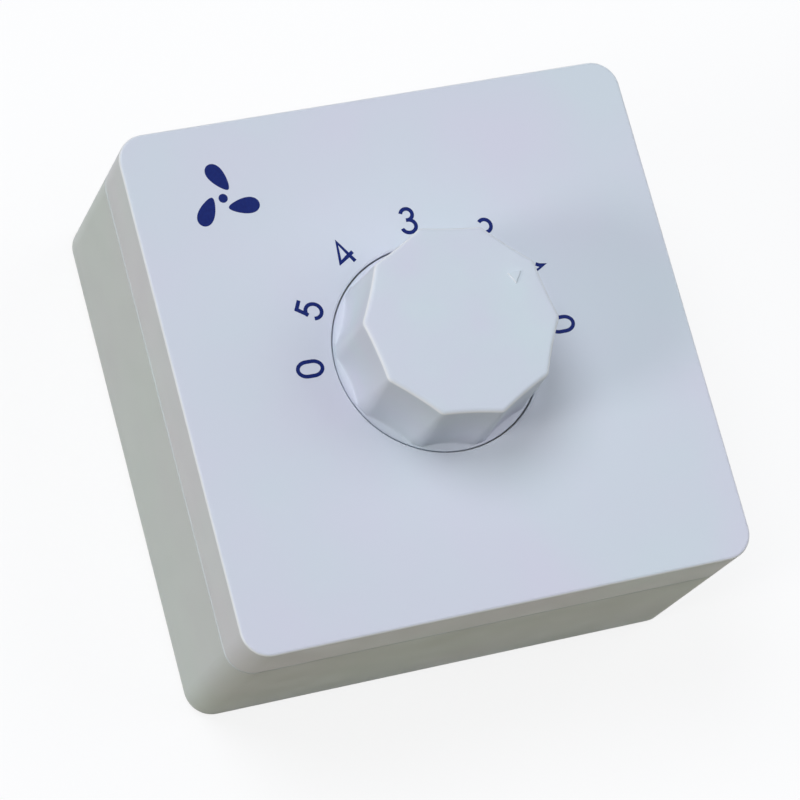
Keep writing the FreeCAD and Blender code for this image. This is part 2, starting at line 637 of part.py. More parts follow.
def bushing_nut():
    """Thin hexagon nut with bevelled corners."""
    low = FRAME_TOP_Z + WASHER_THICKNESS
    high = low + NUT_THICKNESS
    corner_radius = NUT_ACROSS_FLATS / math.sqrt(3)
    nut = prism([polar(corner_radius, 60 * index, low) for index in range(6)], Vector(0, 0, NUT_THICKNESS))
    bevel = disc(corner_radius, low, high)
    bevel = bevel.makeChamfer(NUT_BEVEL, edges_at(bevel, high))
    return nut.common(bevel).cut(disc(BUSHING_RADIUS + RUNNING_GAP, low, high))


def switch_case():
    """Moulded cup of the rotary switch with two stop bosses and the seats of the detent spring."""
    case = disc(CASE_RADIUS, CASE_FOOT_Z, FLANGE_Z)
    cavity_top = FLANGE_Z - CASE_WALL
    case = case.cut(disc(CASE_CAVITY_RADIUS, CASE_FOOT_Z, cavity_top))
    case = case.cut(disc(SHAFT_RADIUS + CASE_SHAFT_GAP, cavity_top, FLANGE_Z))
    body = disc(CASE_RADIUS, CASE_FOOT_Z, FLANGE_Z)
    seat_foot = WHEEL_FOOT_Z
    additions = []
    for side in (-1, 1):
        stop = disc(STOP_RADIUS, CASE_FOOT_Z, FLANGE_Z, side * STOP_PLACE_X, STOP_PLACE_Y)
        additions.append(stop.common(body))
        seat_x = side * (SPRING_HALF_LENGTH - SPRING_SEAT_INSET)
        seat_offset = SPRING_THICKNESS / 2 + SPRING_SEAT_GAP
        post_y = -(SPRING_PLACE - seat_offset - SPRING_POST_RADIUS)
        additions.append(disc(SPRING_POST_RADIUS, seat_foot, FLANGE_Z - CASE_WALL / 2, seat_x, post_y))
        pad_y = -(SPRING_PLACE + seat_offset + SPRING_PAD_DEPTH / 2)
        pad = block(SPRING_PAD_WIDTH, SPRING_PAD_DEPTH, seat_foot, FLANGE_Z - CASE_WALL / 2, seat_x, pad_y)
        additions.append(pad.common(body))
    case = case.multiFuse(additions)
    for side in (-1, 1):
        tie_x = side * STOP_PLACE_X
        tie_hole = disc(TIE_SCREW_RADIUS + MOULD_GAP, CASE_FOOT_Z, FLANGE_Z, tie_x, STOP_PLACE_Y)
        case = case.cut(tie_hole)
    return case


def index_wheel():
    """Notched wheel with a stop lug that points the same way as the knob's mark."""
    wheel = disc(WHEEL_RADIUS, WHEEL_FOOT_Z, WHEEL_TOP_Z)
    notch_place = WHEEL_RADIUS - NOTCH_DEPTH + NOTCH_RADIUS
    notch = disc(NOTCH_RADIUS, WHEEL_FOOT_Z, WHEEL_TOP_Z, notch_place, 0)
    for index in range(round(360 / STEP_ANGLE)):
        wheel = wheel.cut(turned(notch, index * STEP_ANGLE + REST_ANGLE))
    lug_inner = WHEEL_RADIUS - 2 * NOTCH_DEPTH
    lug = block(LUG_REACH - lug_inner, LUG_WIDTH, WHEEL_FOOT_Z, WHEEL_TOP_Z, (LUG_REACH + lug_inner) / 2, 0)
    wheel = wheel.fuse(turned(lug, REST_ANGLE))
    bore = flatted(SHAFT_RADIUS + SEAT_GAP, SHAFT_FLAT + SEAT_GAP, WHEEL_FOOT_Z, WHEEL_TOP_Z, REST_ANGLE)
    return wheel.cut(bore).removeSplitter()


def detent_spring():
    """Leaf spring whose nose rests in a notch of the wheel. Its ends sit in the case."""
    middle_z = (WHEEL_FOOT_Z + WHEEL_TOP_Z) / 2
    bend = NOSE_RADIUS - SPRING_THICKNESS / 2
    tip = WHEEL_RADIUS - NOTCH_DEPTH + NOSE_GAP + SPRING_THICKNESS / 2
    corner = tip - bend * (math.sqrt(2) - 1)
    foot_x = SPRING_PLACE - corner
    points = [
        Vector(-SPRING_HALF_LENGTH, -SPRING_PLACE, middle_z),
        Vector(-foot_x, -SPRING_PLACE, middle_z),
        Vector(0, -corner, middle_z),
        Vector(foot_x, -SPRING_PLACE, middle_z),
        Vector(SPRING_HALF_LENGTH, -SPRING_PLACE, middle_z),
    ]
    return strip(points, bend, SPRING_THICKNESS, SPRING_WIDTH, Vector(0, 0, 1))


def rotor_contact():
    """Wiper: a ring under the wheel with one arm on the speed contacts and one on the common ring."""
    washer = ring(WIPER_RING, SHAFT_RADIUS + SEAT_GAP, WIPER_FOOT_Z, WHEEL_FOOT_Z)
    touch_z = CASE_FOOT_Z + CONTACT_THICKNESS + CONTACT_GAP + WIPER_THICKNESS / 2
    top_z = WHEEL_FOOT_Z - WIPER_THICKNESS / 2
    bend = WIPER_THICKNESS
    reach = [
        Vector(WIPER_RING - WIPER_ROOT, 0, top_z),
        Vector(WIPER_RING + WIPER_SHOULDER, 0, top_z),
        Vector(CONTACT_PLACE - WIPER_PAD / 2, 0, touch_z),
        Vector(CONTACT_PLACE + WIPER_PAD / 2, 0, touch_z),
    ]
    common_place = (COMMON_RING_OUTER + COMMON_RING_INNER) / 2
    back = [
        Vector(-(WIPER_RING - WIPER_ROOT), 0, top_z),
        Vector(-(WIPER_RING + WIPER_BACK_SHOULDER), 0, top_z),
        Vector(-(common_place + WIPER_PAD / 2), 0, touch_z),
        Vector(-(common_place - WIPER_PAD / 2), 0, touch_z),
    ]
    arms = [strip(points, bend, WIPER_THICKNESS, WIPER_WIDTH, Vector(0, 1, 0)) for points in (reach, back)]
    return turned(washer.multiFuse(arms).removeSplitter(), REST_ANGLE)


def contact_wafer():
    """Insulating board that closes the switch and carries its contacts."""
    wafer = disc(CASE_RADIUS, WAFER_BACK_Z, CASE_FOOT_Z)
    holes = [disc(JOURNAL_RADIUS + RUNNING_GAP, WAFER_BACK_Z, CASE_FOOT_Z)]
    tie_hole = disc(TIE_SCREW_RADIUS + MOULD_GAP, WAFER_BACK_Z, CASE_FOOT_Z)
    for side in (-1, 1):
        holes.append(moved(tie_hole, side * STOP_PLACE_X, STOP_PLACE_Y, 0))
    rivet_hole = disc(RIVET_RADIUS + SEAT_GAP, WAFER_BACK_Z, CASE_FOOT_Z, CONTACT_PLACE, 0)
    for index in range(SPEED_COUNT):
        holes.append(turned(rivet_hole, FIRST_SPEED_ANGLE + index * STEP_ANGLE))
    holes.append(disc(COMMON_RIVET_RADIUS + SEAT_GAP, WAFER_BACK_Z, CASE_FOOT_Z, common_rivet_x(), 0))
    for hole in holes:
        wafer = wafer.cut(hole)
    return wafer


def common_rivet_x():
    """Radius of the rivet that joins the common ring to its tag."""
    return (COMMON_RING_OUTER + COMMON_RING_INNER) / 2


def solder_tag(inner_radius):
    """Flat tag on the wafer's back that points outward along X."""
    length = TAG_END_RADIUS - inner_radius
    return block(length, TAG_WIDTH, TAG_BACK_Z, WAFER_BACK_Z, inner_radius + length / 2, 0)


def speed_contact(index):
    """Contact pad, rivet and solder tag of one speed."""
    pad_top = CASE_FOOT_Z + CONTACT_THICKNESS
    pad = block(CONTACT_LENGTH, CONTACT_WIDTH, CASE_FOOT_Z, pad_top, CONTACT_PLACE, 0)
    rivet = disc(RIVET_RADIUS, WAFER_BACK_Z, CASE_FOOT_Z, CONTACT_PLACE, 0)
    contact = pad.multiFuse([rivet, solder_tag(CONTACT_PLACE - TAG_WIDTH / 2)])
    return turned(contact, FIRST_SPEED_ANGLE + index * STEP_ANGLE)


def common_contact():
    """Ring that the wiper always touches, with its rivet and solder tag."""
    pad_top = CASE_FOOT_Z + CONTACT_THICKNESS
    pad = ring(COMMON_RING_OUTER, COMMON_RING_INNER, CASE_FOOT_Z, pad_top)
    rivet = disc(COMMON_RIVET_RADIUS, WAFER_BACK_Z, CASE_FOOT_Z, common_rivet_x(), 0)
    return pad.multiFuse([rivet, solder_tag(common_rivet_x() - TAG_WIDTH / 2)])


def tie_screws():
    """Two long screws that hold wafer, case and flange together."""
    length = FRAME_UNDER_Z - WAFER_BACK_Z
    one = flipped(screw(TIE_SCREW_HEAD, TIE_SCREW_HEAD_HEIGHT, TIE_SCREW_RADIUS, length))
    pair = [moved(one, side * STOP_PLACE_X, STOP_PLACE_Y, WAFER_BACK_Z) for side in (-1, 1)]
    return Part.makeCompound(pair)


def knob_polygon(radius, z):
    """Plain ten-sided outline of the knob's hollow."""
    corners = [polar(radius, POINTER_ANGLE + index * 360.0 / KNOB_SIDES, z) for index in range(KNOB_SIDES)]
    return Part.makePolygon(corners + [corners[0]])


def ridged_outline(tip_radius, ridge_round, flute_depth, z):
    """Closed outline with rounded ridges and hollow sides that meet in tangents."""
    half_step = math.pi / KNOB_SIDES
    centre_radius = tip_radius - ridge_round
    flat_radius = centre_radius * math.cos(half_step) + ridge_round
    flute_radius = flat_radius - flute_depth
    share = 2 * centre_radius * flute_radius * math.cos(half_step)
    hollow = (ridge_round ** 2 - flute_radius ** 2 - centre_radius ** 2 + share)
    hollow = hollow / (2 * (flute_radius - flat_radius))
    hollow_centre = flute_radius + hollow
    edges = []
    step = 360.0 / KNOB_SIDES
    for index in range(KNOB_SIDES):
        angle = POINTER_ANGLE + index * step
        ridge_centre = polar(centre_radius, angle, z)
        left_centre = polar(hollow_centre, angle + step / 2, z)
        right_centre = polar(hollow_centre, angle - step / 2, z)
        next_centre = polar(centre_radius, angle + step, z)
        left = ridge_centre + (left_centre - ridge_centre).normalize() * ridge_round
        right = ridge_centre + (right_centre - ridge_centre).normalize() * ridge_round
        far = next_centre + (left_centre - next_centre).normalize() * ridge_round
        edges.append(three_point_arc(right, polar(tip_radius, angle, z), left))
        edges.append(three_point_arc(left, polar(flute_radius, angle + step / 2, z), far))
    return Part.Wire(edges)


def pointer_mark():
    """Raised triangle, rooted in the knob's top, that points at the chosen number."""
    sections = []
    for z, share in ((KNOB_TOP_Z - POINTER_RISE, 1.0), (KNOB_TOP_Z + POINTER_RISE, POINTER_TOP_SHARE)):
        tip = Vector(POINTER_PLACE + share * POINTER_LENGTH / 2, 0, z)
        base = POINTER_PLACE - share * POINTER_LENGTH / 2
        left = Vector(base, share * POINTER_WIDTH / 2, z)
        right = Vector(base, -share * POINTER_WIDTH / 2, z)
        sections.append(Part.makePolygon([tip, left, right, tip]))
    return turned(Part.makeLoft(sections, True, True), POINTER_ANGLE)


def knob():
    """Ten-sided knob with hollow flutes, a round skirt, a D-bore hub and a raised pointer mark."""
    skirt_top = KNOB_FOOT_Z + KNOB_SKIRT
    rise = KNOB_TOP_Z - KNOB_TOP_EDGE - skirt_top
    base_tip = KNOB_BASE_RADIUS - KNOB_TIP_INSET
    sections = []
    for height, flute in ((0.0, FLUTE_AT_SKIRT), (FLUTE_DEEPEST_RISE, FLUTE_DEEPEST), (rise, FLUTE_AT_TOP)):
        share = height / rise
        tip = base_tip + share * (KNOB_TOP_RADIUS - base_tip)
        ridge = RIDGE_ROUND_BASE + share * (RIDGE_ROUND_TOP - RIDGE_ROUND_BASE)
        sections.append(ridged_outline(tip, ridge, flute, skirt_top + height))
    top_tip = KNOB_TOP_RADIUS - KNOB_TOP_EDGE_INSET
    sections.append(ridged_outline(top_tip, RIDGE_ROUND_TOP, FLUTE_AT_TOP, KNOB_TOP_Z))
    body = Part.makeLoft(sections, True, True)
    body = body.fuse(disc(KNOB_BASE_RADIUS, KNOB_FOOT_Z, skirt_top))
    cavity_top = KNOB_TOP_Z - KNOB_TOP_WALL
    top_radius = KNOB_TOP_RADIUS - KNOB_SIDE_WALL
    foot_radius = KNOB_BASE_RADIUS - KNOB_SIDE_WALL
    hollow = [knob_polygon(foot_radius, KNOB_FOOT_Z), knob_polygon(top_radius, cavity_top)]
    body = body.cut(Part.makeLoft(hollow, True, True))
    hub = disc(HUB_RADIUS, HUB_FOOT_Z, cavity_top + KNOB_TOP_WALL / 2)
    rib_low = cavity_top - KNOB_RIB_HEIGHT
    rib_inner = (SHAFT_RADIUS + HUB_RADIUS) / 2
    rib_length = top_radius + KNOB_SIDE_WALL / 2 - rib_inner
    rib = block(rib_length, KNOB_RIB, rib_low, cavity_top + KNOB_TOP_WALL / 2, rib_inner + rib_length / 2, 0)
    ribs = [turned(rib, POINTER_ANGLE + index * 360.0 / KNOB_RIB_COUNT) for index in range(KNOB_RIB_COUNT)]
    body = body.multiFuse([hub] + ribs)
    bore = flatted(SHAFT_RADIUS + SEAT_GAP, SHAFT_FLAT + SEAT_GAP, HUB_FOOT_Z, cavity_top, REST_ANGLE)
    body = body.cut(bore)
    slit = block(2 * HUB_RADIUS, HUB_SLIT, HUB_FOOT_Z, rib_low)
    body = body.cut(turned(slit, REST_ANGLE + 90))
    return body.fuse(pointer_mark())


def knob_clip():
    """Open spring ring that squeezes the slit hub onto the shaft."""
    inner = HUB_RADIUS + SEAT_GAP
    low = HUB_FOOT_Z + KNOB_CLIP_RISE
    clip = ring(inner + KNOB_CLIP_THICKNESS, inner, low, low + KNOB_CLIP_WIDTH)
    opening = block(2 * HUB_RADIUS, KNOB_CLIP_OPENING, low, low + KNOB_CLIP_WIDTH, HUB_RADIUS, 0)
    return turned(clip.cut(opening), REST_ANGLE + 180)


def core_e():
    """E-shaped half of the laminated core. Its legs point back."""
    core = block(CORE_WIDTH, STACK, CORE_FOOT_Z + YOKE, CORE_TOP_Z, 0, CHOKE_Y)
    window_x = CENTRE_LEG / 2 + WINDOW_WIDTH / 2
    for side in (-1, 1):
        window = block(WINDOW_WIDTH, STACK, CORE_FOOT_Z + YOKE, CORE_TOP_Z - YOKE, side * window_x, CHOKE_Y)
        core = core.cut(window)
    return core


def core_i():
    """I-shaped half of the core, which closes the legs of the other half."""
    return block(CORE_WIDTH, STACK, CORE_FOOT_Z, CORE_FOOT_Z + YOKE, 0, CHOKE_Y)


def coil_bobbin():
    """Bobbin on the centre leg with a flange at each end."""
    low = CORE_FOOT_Z + YOKE + BOBBIN_GAP
    high = CORE_TOP_Z - YOKE - BOBBIN_GAP
    inner_x = CENTRE_LEG + 2 * BOBBIN_GAP
    inner_y = STACK + 2 * BOBBIN_GAP
    flange_x = CENTRE_LEG + 2 * WINDOW_WIDTH - 4 * BOBBIN_GAP
    flange_y = 2 * COIL_HALF_DEPTH
    tube = block(inner_x + 2 * BOBBIN_WALL, inner_y + 2 * BOBBIN_WALL, low, high, 0, CHOKE_Y)
    flanges = [
        rounded_block(flange_x, flange_y, BOBBIN_CORNER, low, low + BOBBIN_WALL, 0, CHOKE_Y),
        rounded_block(flange_x, flange_y, BOBBIN_CORNER, high - BOBBIN_WALL, high, 0, CHOKE_Y),
    ]
    return tube.multiFuse(flanges).cut(block(inner_x, inner_y, low, high, 0, CHOKE_Y))


def winding_size():
    """Outer X and Y size and the two heights of the winding."""
    low = CORE_FOOT_Z + YOKE + BOBBIN_GAP + BOBBIN_WALL
    high = CORE_TOP_Z - YOKE - BOBBIN_GAP - BOBBIN_WALL
    size_x = CENTRE_LEG + 2 * WINDOW_WIDTH - 4 * BOBBIN_GAP - 2 * TAPE_INSET - 2 * TAPE_THICKNESS
    size_y = 2 * COIL_HALF_DEPTH - 2 * TAPE_INSET - 2 * TAPE_THICKNESS
    return size_x, size_y, low, high


def choke_winding():
    """Enamelled copper winding as one solid."""
    size_x, size_y, low, high = winding_size()
    tube_x = CENTRE_LEG + 2 * BOBBIN_GAP + 2 * BOBBIN_WALL
    tube_y = STACK + 2 * BOBBIN_GAP + 2 * BOBBIN_WALL
    winding = rounded_block(size_x, size_y, WINDING_CORNER, low, high, 0, CHOKE_Y)
    return winding.cut(block(tube_x, tube_y, low, high, 0, CHOKE_Y))


def coil_tape():
    """Insulating wrap round the winding."""
    size_x, size_y, low, high = winding_size()
    outer_x = size_x + 2 * TAPE_THICKNESS
    outer_y = size_y + 2 * TAPE_THICKNESS
    outer = rounded_block(outer_x, outer_y, WINDING_CORNER + TAPE_THICKNESS, low, high, 0, CHOKE_Y)
    return outer.cut(rounded_block(size_x, size_y, WINDING_CORNER, low, high, 0, CHOKE_Y))


def bracket_hole_x():
    """Distance of the bracket's screw holes from the middle."""
    return CORE_WIDTH / 2 + BRACKET_HOLE_FROM_LEG


def choke_bracket():
    """Bent steel strap round the core with a foot on each side."""
    leg_x = CORE_WIDTH / 2 + BRACKET_GAP + BRACKET_THICKNESS / 2
    base_z = CORE_FOOT_Z - BRACKET_GAP - BRACKET_THICKNESS / 2
    foot_z = FRAME_UNDER_Z - BRACKET_BOSS_HEIGHT - BRACKET_THICKNESS / 2
    foot_end = leg_x + BRACKET_FOOT
    points = [
        Vector(-foot_end, CHOKE_Y, foot_z),
        Vector(-leg_x, CHOKE_Y, foot_z),
        Vector(-leg_x, CHOKE_Y, base_z),
        Vector(leg_x, CHOKE_Y, base_z),
        Vector(leg_x, CHOKE_Y, foot_z),
        Vector(foot_end, CHOKE_Y, foot_z),
    ]
    bracket = strip(points, BRACKET_BEND, BRACKET_THICKNESS, STACK, Vector(0, 1, 0))
    for side in (-1, 1):
        low = foot_z - BRACKET_THICKNESS
        hole = disc(M3_RADIUS + SCREW_PLAY, low, foot_z + BRACKET_THICKNESS, side * bracket_hole_x(), CHOKE_Y)
        bracket = bracket.cut(hole)
    return bracket


def bracket_screws():
    """Two screws that hold the choke's bracket to the frame."""
    one = flipped(screw(M3_HEAD_RADIUS, M3_HEAD_HEIGHT, M3_PILOT - SEAT_GAP, BRACKET_SCREW_LENGTH))
    foot_z = FRAME_UNDER_Z - BRACKET_BOSS_HEIGHT - BRACKET_THICKNESS
    return Part.makeCompound([moved(one, side * bracket_hole_x(), CHOKE_Y, foot_z) for side in (-1, 1)])


def barrel_z():
    """Height of the terminal barrels' axis."""
    return (TERMINAL_FOOT_Z + TERMINAL_TOP_Z) / 2


def along_y(radius, y_low, y_high, x, z):
    """Cylinder along Y."""
    return Part.makeCylinder(radius, y_high - y_low, Vector(x, y_low, z), Vector(0, 1, 0))


def terminal_body():
    """Two-pole terminal block with wire entries at both ends and clamp screws at the back."""
    body = rounded_block(TERMINAL_X, TERMINAL_Y, TERMINAL_CORNER, TERMINAL_FOOT_Z, TERMINAL_TOP_Z)
    body = moved(body, 0, TERMINAL_CENTRE_Y, 0)
    y_low = TERMINAL_CENTRE_Y - TERMINAL_Y / 2
    y_high = TERMINAL_CENTRE_Y + TERMINAL_Y / 2
    for side in (-1, 1):
        x = side * TERMINAL_PITCH / 2
        body = body.cut(along_y(BARREL_RADIUS + SEAT_GAP, y_low, y_high, x, barrel_z()))
        for place in (-1, 1):
            y = TERMINAL_CENTRE_Y + place * CLAMP_SCREW_SPACING / 2
            body = body.cut(disc(CLAMP_SCREW_HEAD + MOULD_GAP, TERMINAL_FOOT_Z, barrel_z(), x, y))
    return body.cut(disc(M3_RADIUS + MOULD_GAP, TERMINAL_FOOT_Z, TERMINAL_TOP_Z, 0, TERMINAL_CENTRE_Y))


def terminal_barrel(side):
    """Brass barrel of one pole."""
    y_low = TERMINAL_CENTRE_Y - TERMINAL_Y / 2 + BARREL_INSET
    y_high = TERMINAL_CENTRE_Y + TERMINAL_Y / 2 - BARREL_INSET
    x = side * TERMINAL_PITCH / 2
    barrel = along_y(BARREL_RADIUS, y_low, y_high, x, barrel_z())
    barrel = barrel.cut(along_y(BARREL_BORE, y_low, y_high, x, barrel_z()))
    for place in (-1, 1):
        y = TERMINAL_CENTRE_Y + place * CLAMP_SCREW_SPACING / 2
        barrel = barrel.cut(disc(CLAMP_SCREW_RADIUS + SEAT_GAP, TERMINAL_FOOT_Z, barrel_z(), x, y))
    return barrel


def clamp_screws():
    """Four screws that clamp the wires in the barrels."""
    seat_z = barrel_z() - BARREL_RADIUS - CLAMP_SCREW_HEAD_RISE
    length = barrel_z() - LEAD_RADIUS - RUNNING_GAP - seat_z
    one = flipped(screw(CLAMP_SCREW_HEAD, CLAMP_SCREW_HEAD_HEIGHT, CLAMP_SCREW_RADIUS, length))
    screws = []
    for side in (-1, 1):
        for place in (-1, 1):
            y = TERMINAL_CENTRE_Y + place * CLAMP_SCREW_SPACING / 2
            screws.append(moved(one, side * TERMINAL_PITCH / 2, y, seat_z))
    return Part.makeCompound(screws)


def terminal_screw():
    """Screw that holds the terminal block to the frame."""
    length = TERMINAL_Z + TERMINAL_BOSS_HEIGHT
    one = flipped(screw(M3_HEAD_RADIUS, M3_HEAD_HEIGHT, M3_PILOT - SEAT_GAP, length))
    return moved(one, 0, TERMINAL_CENTRE_Y, TERMINAL_FOOT_Z)


def coil_face_y():
    """Y of the coil's taped side that faces the switch."""
    return CHOKE_Y + COIL_HALF_DEPTH - TAPE_INSET


def terminal_near_y():
    """Y of the terminal block's side that faces the switch."""
    return TERMINAL_CENTRE_Y - TERMINAL_Y / 2


def lead_end_y():
    """Y of the end of a lead inside its terminal barrel."""
    return terminal_near_y() + LEAD_IN_BARREL


def lead(points):
    """Insulated lead with a many-sided section along a route of straight runs and tangent arcs."""
    path = smooth_path(points)
    along = (points[1] - points[0]).normalize()
    across = Vector(1, 0, 0) if abs(along.z) > abs(along.x) else Vector(0, 0, 1)
    side = along.cross(across).normalize()
    up = along.cross(side)
    corners = []
    for index in range(LEAD_SIDES):
        angle = 2 * math.pi * index / LEAD_SIDES
        corners.append(points[0] + (side * math.cos(angle) + up * math.sin(angle)) * LEAD_RADIUS)
    return swept(path, Part.makePolygon(corners + [corners[0]]))


def tap_lead(index):
    """Lead from one tap of the coil to its speed contact."""
    start_x = (SPEED_COUNT / 2 - index) * LEAD_PITCH
    tag = polar(LEAD_TAG_RADIUS, FIRST_SPEED_ANGLE + index * STEP_ANGLE)
    turn_y = coil_face_y() + TAP_RUN
    return lead([
        Vector(start_x, coil_face_y(), LEAD_Z),
        Vector(start_x, turn_y, LEAD_Z),
        Vector(tag.x, tag.y, LEAD_Z + TAP_RISE),
        Vector(tag.x, tag.y, TAG_BACK_Z),
    ])


def line_lead():
    """Lead from the live terminal to the common contact."""
    tag = polar(LEAD_TAG_RADIUS, 0)
    return lead([
        Vector(tag.x, tag.y, TAG_BACK_Z),
        Vector(tag.x, tag.y, TAG_BACK_Z - 6.5),
        Vector(tag.x + 5.6, 4.5, TAG_BACK_Z - 8.0),
        Vector(tag.x + 5.2, 12.6, TAG_BACK_Z - 3.6),
        Vector(TERMINAL_PITCH / 2 + 7.4, terminal_near_y() - 5.0, barrel_z() - 1.6),
        Vector(TERMINAL_PITCH / 2, terminal_near_y() - 3.8, barrel_z()),
        Vector(TERMINAL_PITCH / 2, lead_end_y(), barrel_z()),
    ])


def load_lead():
    """Lead from the end of the coil to the load terminal."""
    start_x = -SPEED_COUNT / 2 * LEAD_PITCH
    return lead([
        Vector(start_x, coil_face_y(), LEAD_Z),
        Vector(start_x, coil_face_y() + LOAD_RUN, LEAD_Z),
        Vector(-LEAD_TAG_RADIUS - 3.0, -3.4, TAG_BACK_Z - 8.8),
        Vector(-LEAD_TAG_RADIUS - 5.6, 6.4, TAG_BACK_Z - 5.6),
        Vector(-TERMINAL_PITCH / 2 - 8.2, terminal_near_y() - 6.8, barrel_z() - 3.4),
        Vector(-TERMINAL_PITCH / 2, terminal_near_y() - 3.8, barrel_z()),
        Vector(-TERMINAL_PITCH / 2, lead_end_y(), barrel_z()),
    ])


def all_pieces():
    """Every piece by the name of its node."""
    pieces = {
        "front_cover": front_cover(),
        "back_box": back_box(),
        "mounting_frame": mounting_frame(),
        "frame_screws": frame_screws(),
        "thread_inserts": thread_inserts(),
        "knob": knob(),
        "knob_clip": knob_clip(),
        "switch_shaft": switch_shaft(),
        "shaft_clip": shaft_clip(),
        "switch_bushing": switch_bushing(),
        "lock_washer": lock_washer(),
        "bushing_nut": bushing_nut(),
        "switch_case": switch_case(),
        "index_wheel": index_wheel(),
        "detent_spring": detent_spring(),
        "rotor_contact": rotor_contact(),
        "contact_wafer": contact_wafer(),
        "common_contact": common_contact(),
        "tie_screws": tie_screws(),
        "core_e": core_e(),
        "core_i": core_i(),
        "coil_bobbin": coil_bobbin(),
        "choke_winding": choke_winding(),
        "coil_tape": coil_tape(),
        "choke_bracket": choke_bracket(),
        "bracket_screws": bracket_screws(),
        "terminal_body": terminal_body(),
        "terminal_barrel_line": terminal_barrel(1),
        "terminal_barrel_load": terminal_barrel(-1),
        "clamp_screws": clamp_screws(),
        "terminal_screw": terminal_screw(),
        "line_lead": line_lead(),
        "load_lead": load_lead(),
    }
    for index in range(SPEED_COUNT):
        pieces["speed_contact_%d" % (index + 1)] = speed_contact(index)
        pieces["tap_lead_%d" % (index + 1)] = tap_lead(index)
    return pieces


os.makedirs("parts", exist_ok=True)
for node, shape in all_pieces().items():
    shape.exportStep("parts/%s.step" % node)
    print(node, "solids", len(shape.Solids), "valid", shape.isValid(), "volume", round(shape.Volume, 2))
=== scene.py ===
"""Looks of a fan speed control switch: a white square wall box with a fluted knob and a printed dial.

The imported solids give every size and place. This file gives each of them its finish and makes the pieces
that need finer work than the solids have: the knob and the print on the face.
"""

import json
import logging
import math
from dataclasses import dataclass
from enum import Enum
from typing import Any, Protocol, Sequence

import bmesh
import bpy
from mathutils import Matrix, Vector

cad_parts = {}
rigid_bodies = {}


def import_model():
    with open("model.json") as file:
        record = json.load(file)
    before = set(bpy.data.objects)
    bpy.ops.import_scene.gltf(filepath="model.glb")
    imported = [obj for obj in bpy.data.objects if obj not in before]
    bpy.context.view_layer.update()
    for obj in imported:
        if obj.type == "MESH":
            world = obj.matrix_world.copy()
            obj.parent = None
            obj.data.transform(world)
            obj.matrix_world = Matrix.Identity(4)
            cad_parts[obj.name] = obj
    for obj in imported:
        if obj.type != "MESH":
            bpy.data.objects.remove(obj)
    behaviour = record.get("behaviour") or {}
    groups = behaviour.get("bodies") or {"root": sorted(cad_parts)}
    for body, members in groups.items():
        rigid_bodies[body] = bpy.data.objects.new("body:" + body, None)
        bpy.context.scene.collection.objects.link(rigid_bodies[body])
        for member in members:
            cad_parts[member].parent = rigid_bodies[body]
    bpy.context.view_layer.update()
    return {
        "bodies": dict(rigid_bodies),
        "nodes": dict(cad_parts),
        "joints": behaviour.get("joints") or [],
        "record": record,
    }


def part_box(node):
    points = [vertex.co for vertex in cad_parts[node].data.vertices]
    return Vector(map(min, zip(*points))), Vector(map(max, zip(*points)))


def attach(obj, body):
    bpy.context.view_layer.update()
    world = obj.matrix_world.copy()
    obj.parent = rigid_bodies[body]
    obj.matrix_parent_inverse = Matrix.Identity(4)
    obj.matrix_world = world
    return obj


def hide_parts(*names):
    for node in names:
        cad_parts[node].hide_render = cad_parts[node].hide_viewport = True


LOG = logging.getLogger("fan_speed_switch")
MM = 0.001
# A wave texture turns by this many radians in one unit of its scale.
WAVE_RADIANS = 20.0
# Nearly all of a noise texture lies between these two values.
CLOUD_LOW = 0.3
CLOUD_HIGH = 0.7
# Least cosine at a stroke's bend, so that a sharp corner doesn't grow into a spike.
MITRE_LIMIT = 0.6

Point = tuple[float, float]
Point3 = tuple[float, float, float]
Range = tuple[float, float]
EVEN: Point3 = (1.0, 1.0, 1.0)


class Body(Enum):
    """Bodies of the frame that pieces ride on."""

    HOUSING = "housing"
    KNOB = "knob_assembly"


class Axis(Enum):
    """Axes that bands follow one another along."""

    Y = "Y"
    Z = "Z"


class Operation(Enum):
    """What happens to a solid that meets another."""

    JOIN = "UNION"
    CUT = "DIFFERENCE"


def linear(hex_colour: str) -> tuple[float, float, float, float]:
    """Turns an sRGB hex colour into linear RGBA.

    Args:
        hex_colour: Colour such as "#D9DEE6".

    Returns:
        Linear red, green, blue and an alpha of one.
    """
    channels = [int(hex_colour[place:place + 2], 16) / 255.0 for place in (1, 3, 5)]
    light = [c / 12.92 if c <= 0.04045 else ((c + 0.055) / 1.055) ** 2.4 for c in channels]
    return (light[0], light[1], light[2], 1.0)


def per_metre(size_mm: float) -> float:
    """Pattern scale of a texture whose features are size_mm apart, for coordinates in metres."""
    return 1.0 / (size_mm * MM)


def fill(tree: bpy.types.NodeTree, node: bpy.types.Node, inputs: dict[str | int, Any]) -> None:
    """Fills or links inputs of a node.

    Args:
        tree: Node tree that the node is in.
        node: The node.
        inputs: Socket name or number to a value, or to an output socket that is linked to it.
    """
    for name, value in inputs.items():
        if isinstance(value, bpy.types.NodeSocket):
            tree.links.new(value, node.inputs[name])
        else:
            node.inputs[name].default_value = value


def add_node(
    tree: bpy.types.NodeTree, kind: str, inputs: dict[str | int, Any] | None = None, **settings: Any,
) -> bpy.types.Node:
    """Adds one node, sets its properties and fills or links its inputs.

    Args:
        tree: Node tree of a material or a world.
        kind: Node type, such as "ShaderNodeTexNoise".
        inputs: What its inputs get, as fill takes it.
        settings: Properties of the node.

    Returns:
        The new node.
    """
    node = tree.nodes.new(kind)
    for name, value in settings.items():
        setattr(node, name, value)
    fill(tree, node, inputs or {})
    return node


def empty_tree(holder: bpy.types.Material | bpy.types.World) -> bpy.types.NodeTree:
    """Turns the nodes of a material or world on and clears them.

    Args:
        holder: The material or world.

    Returns:
        Its empty node tree.
    """
    holder.use_nodes = True
    holder.node_tree.nodes.clear()
    return holder.node_tree


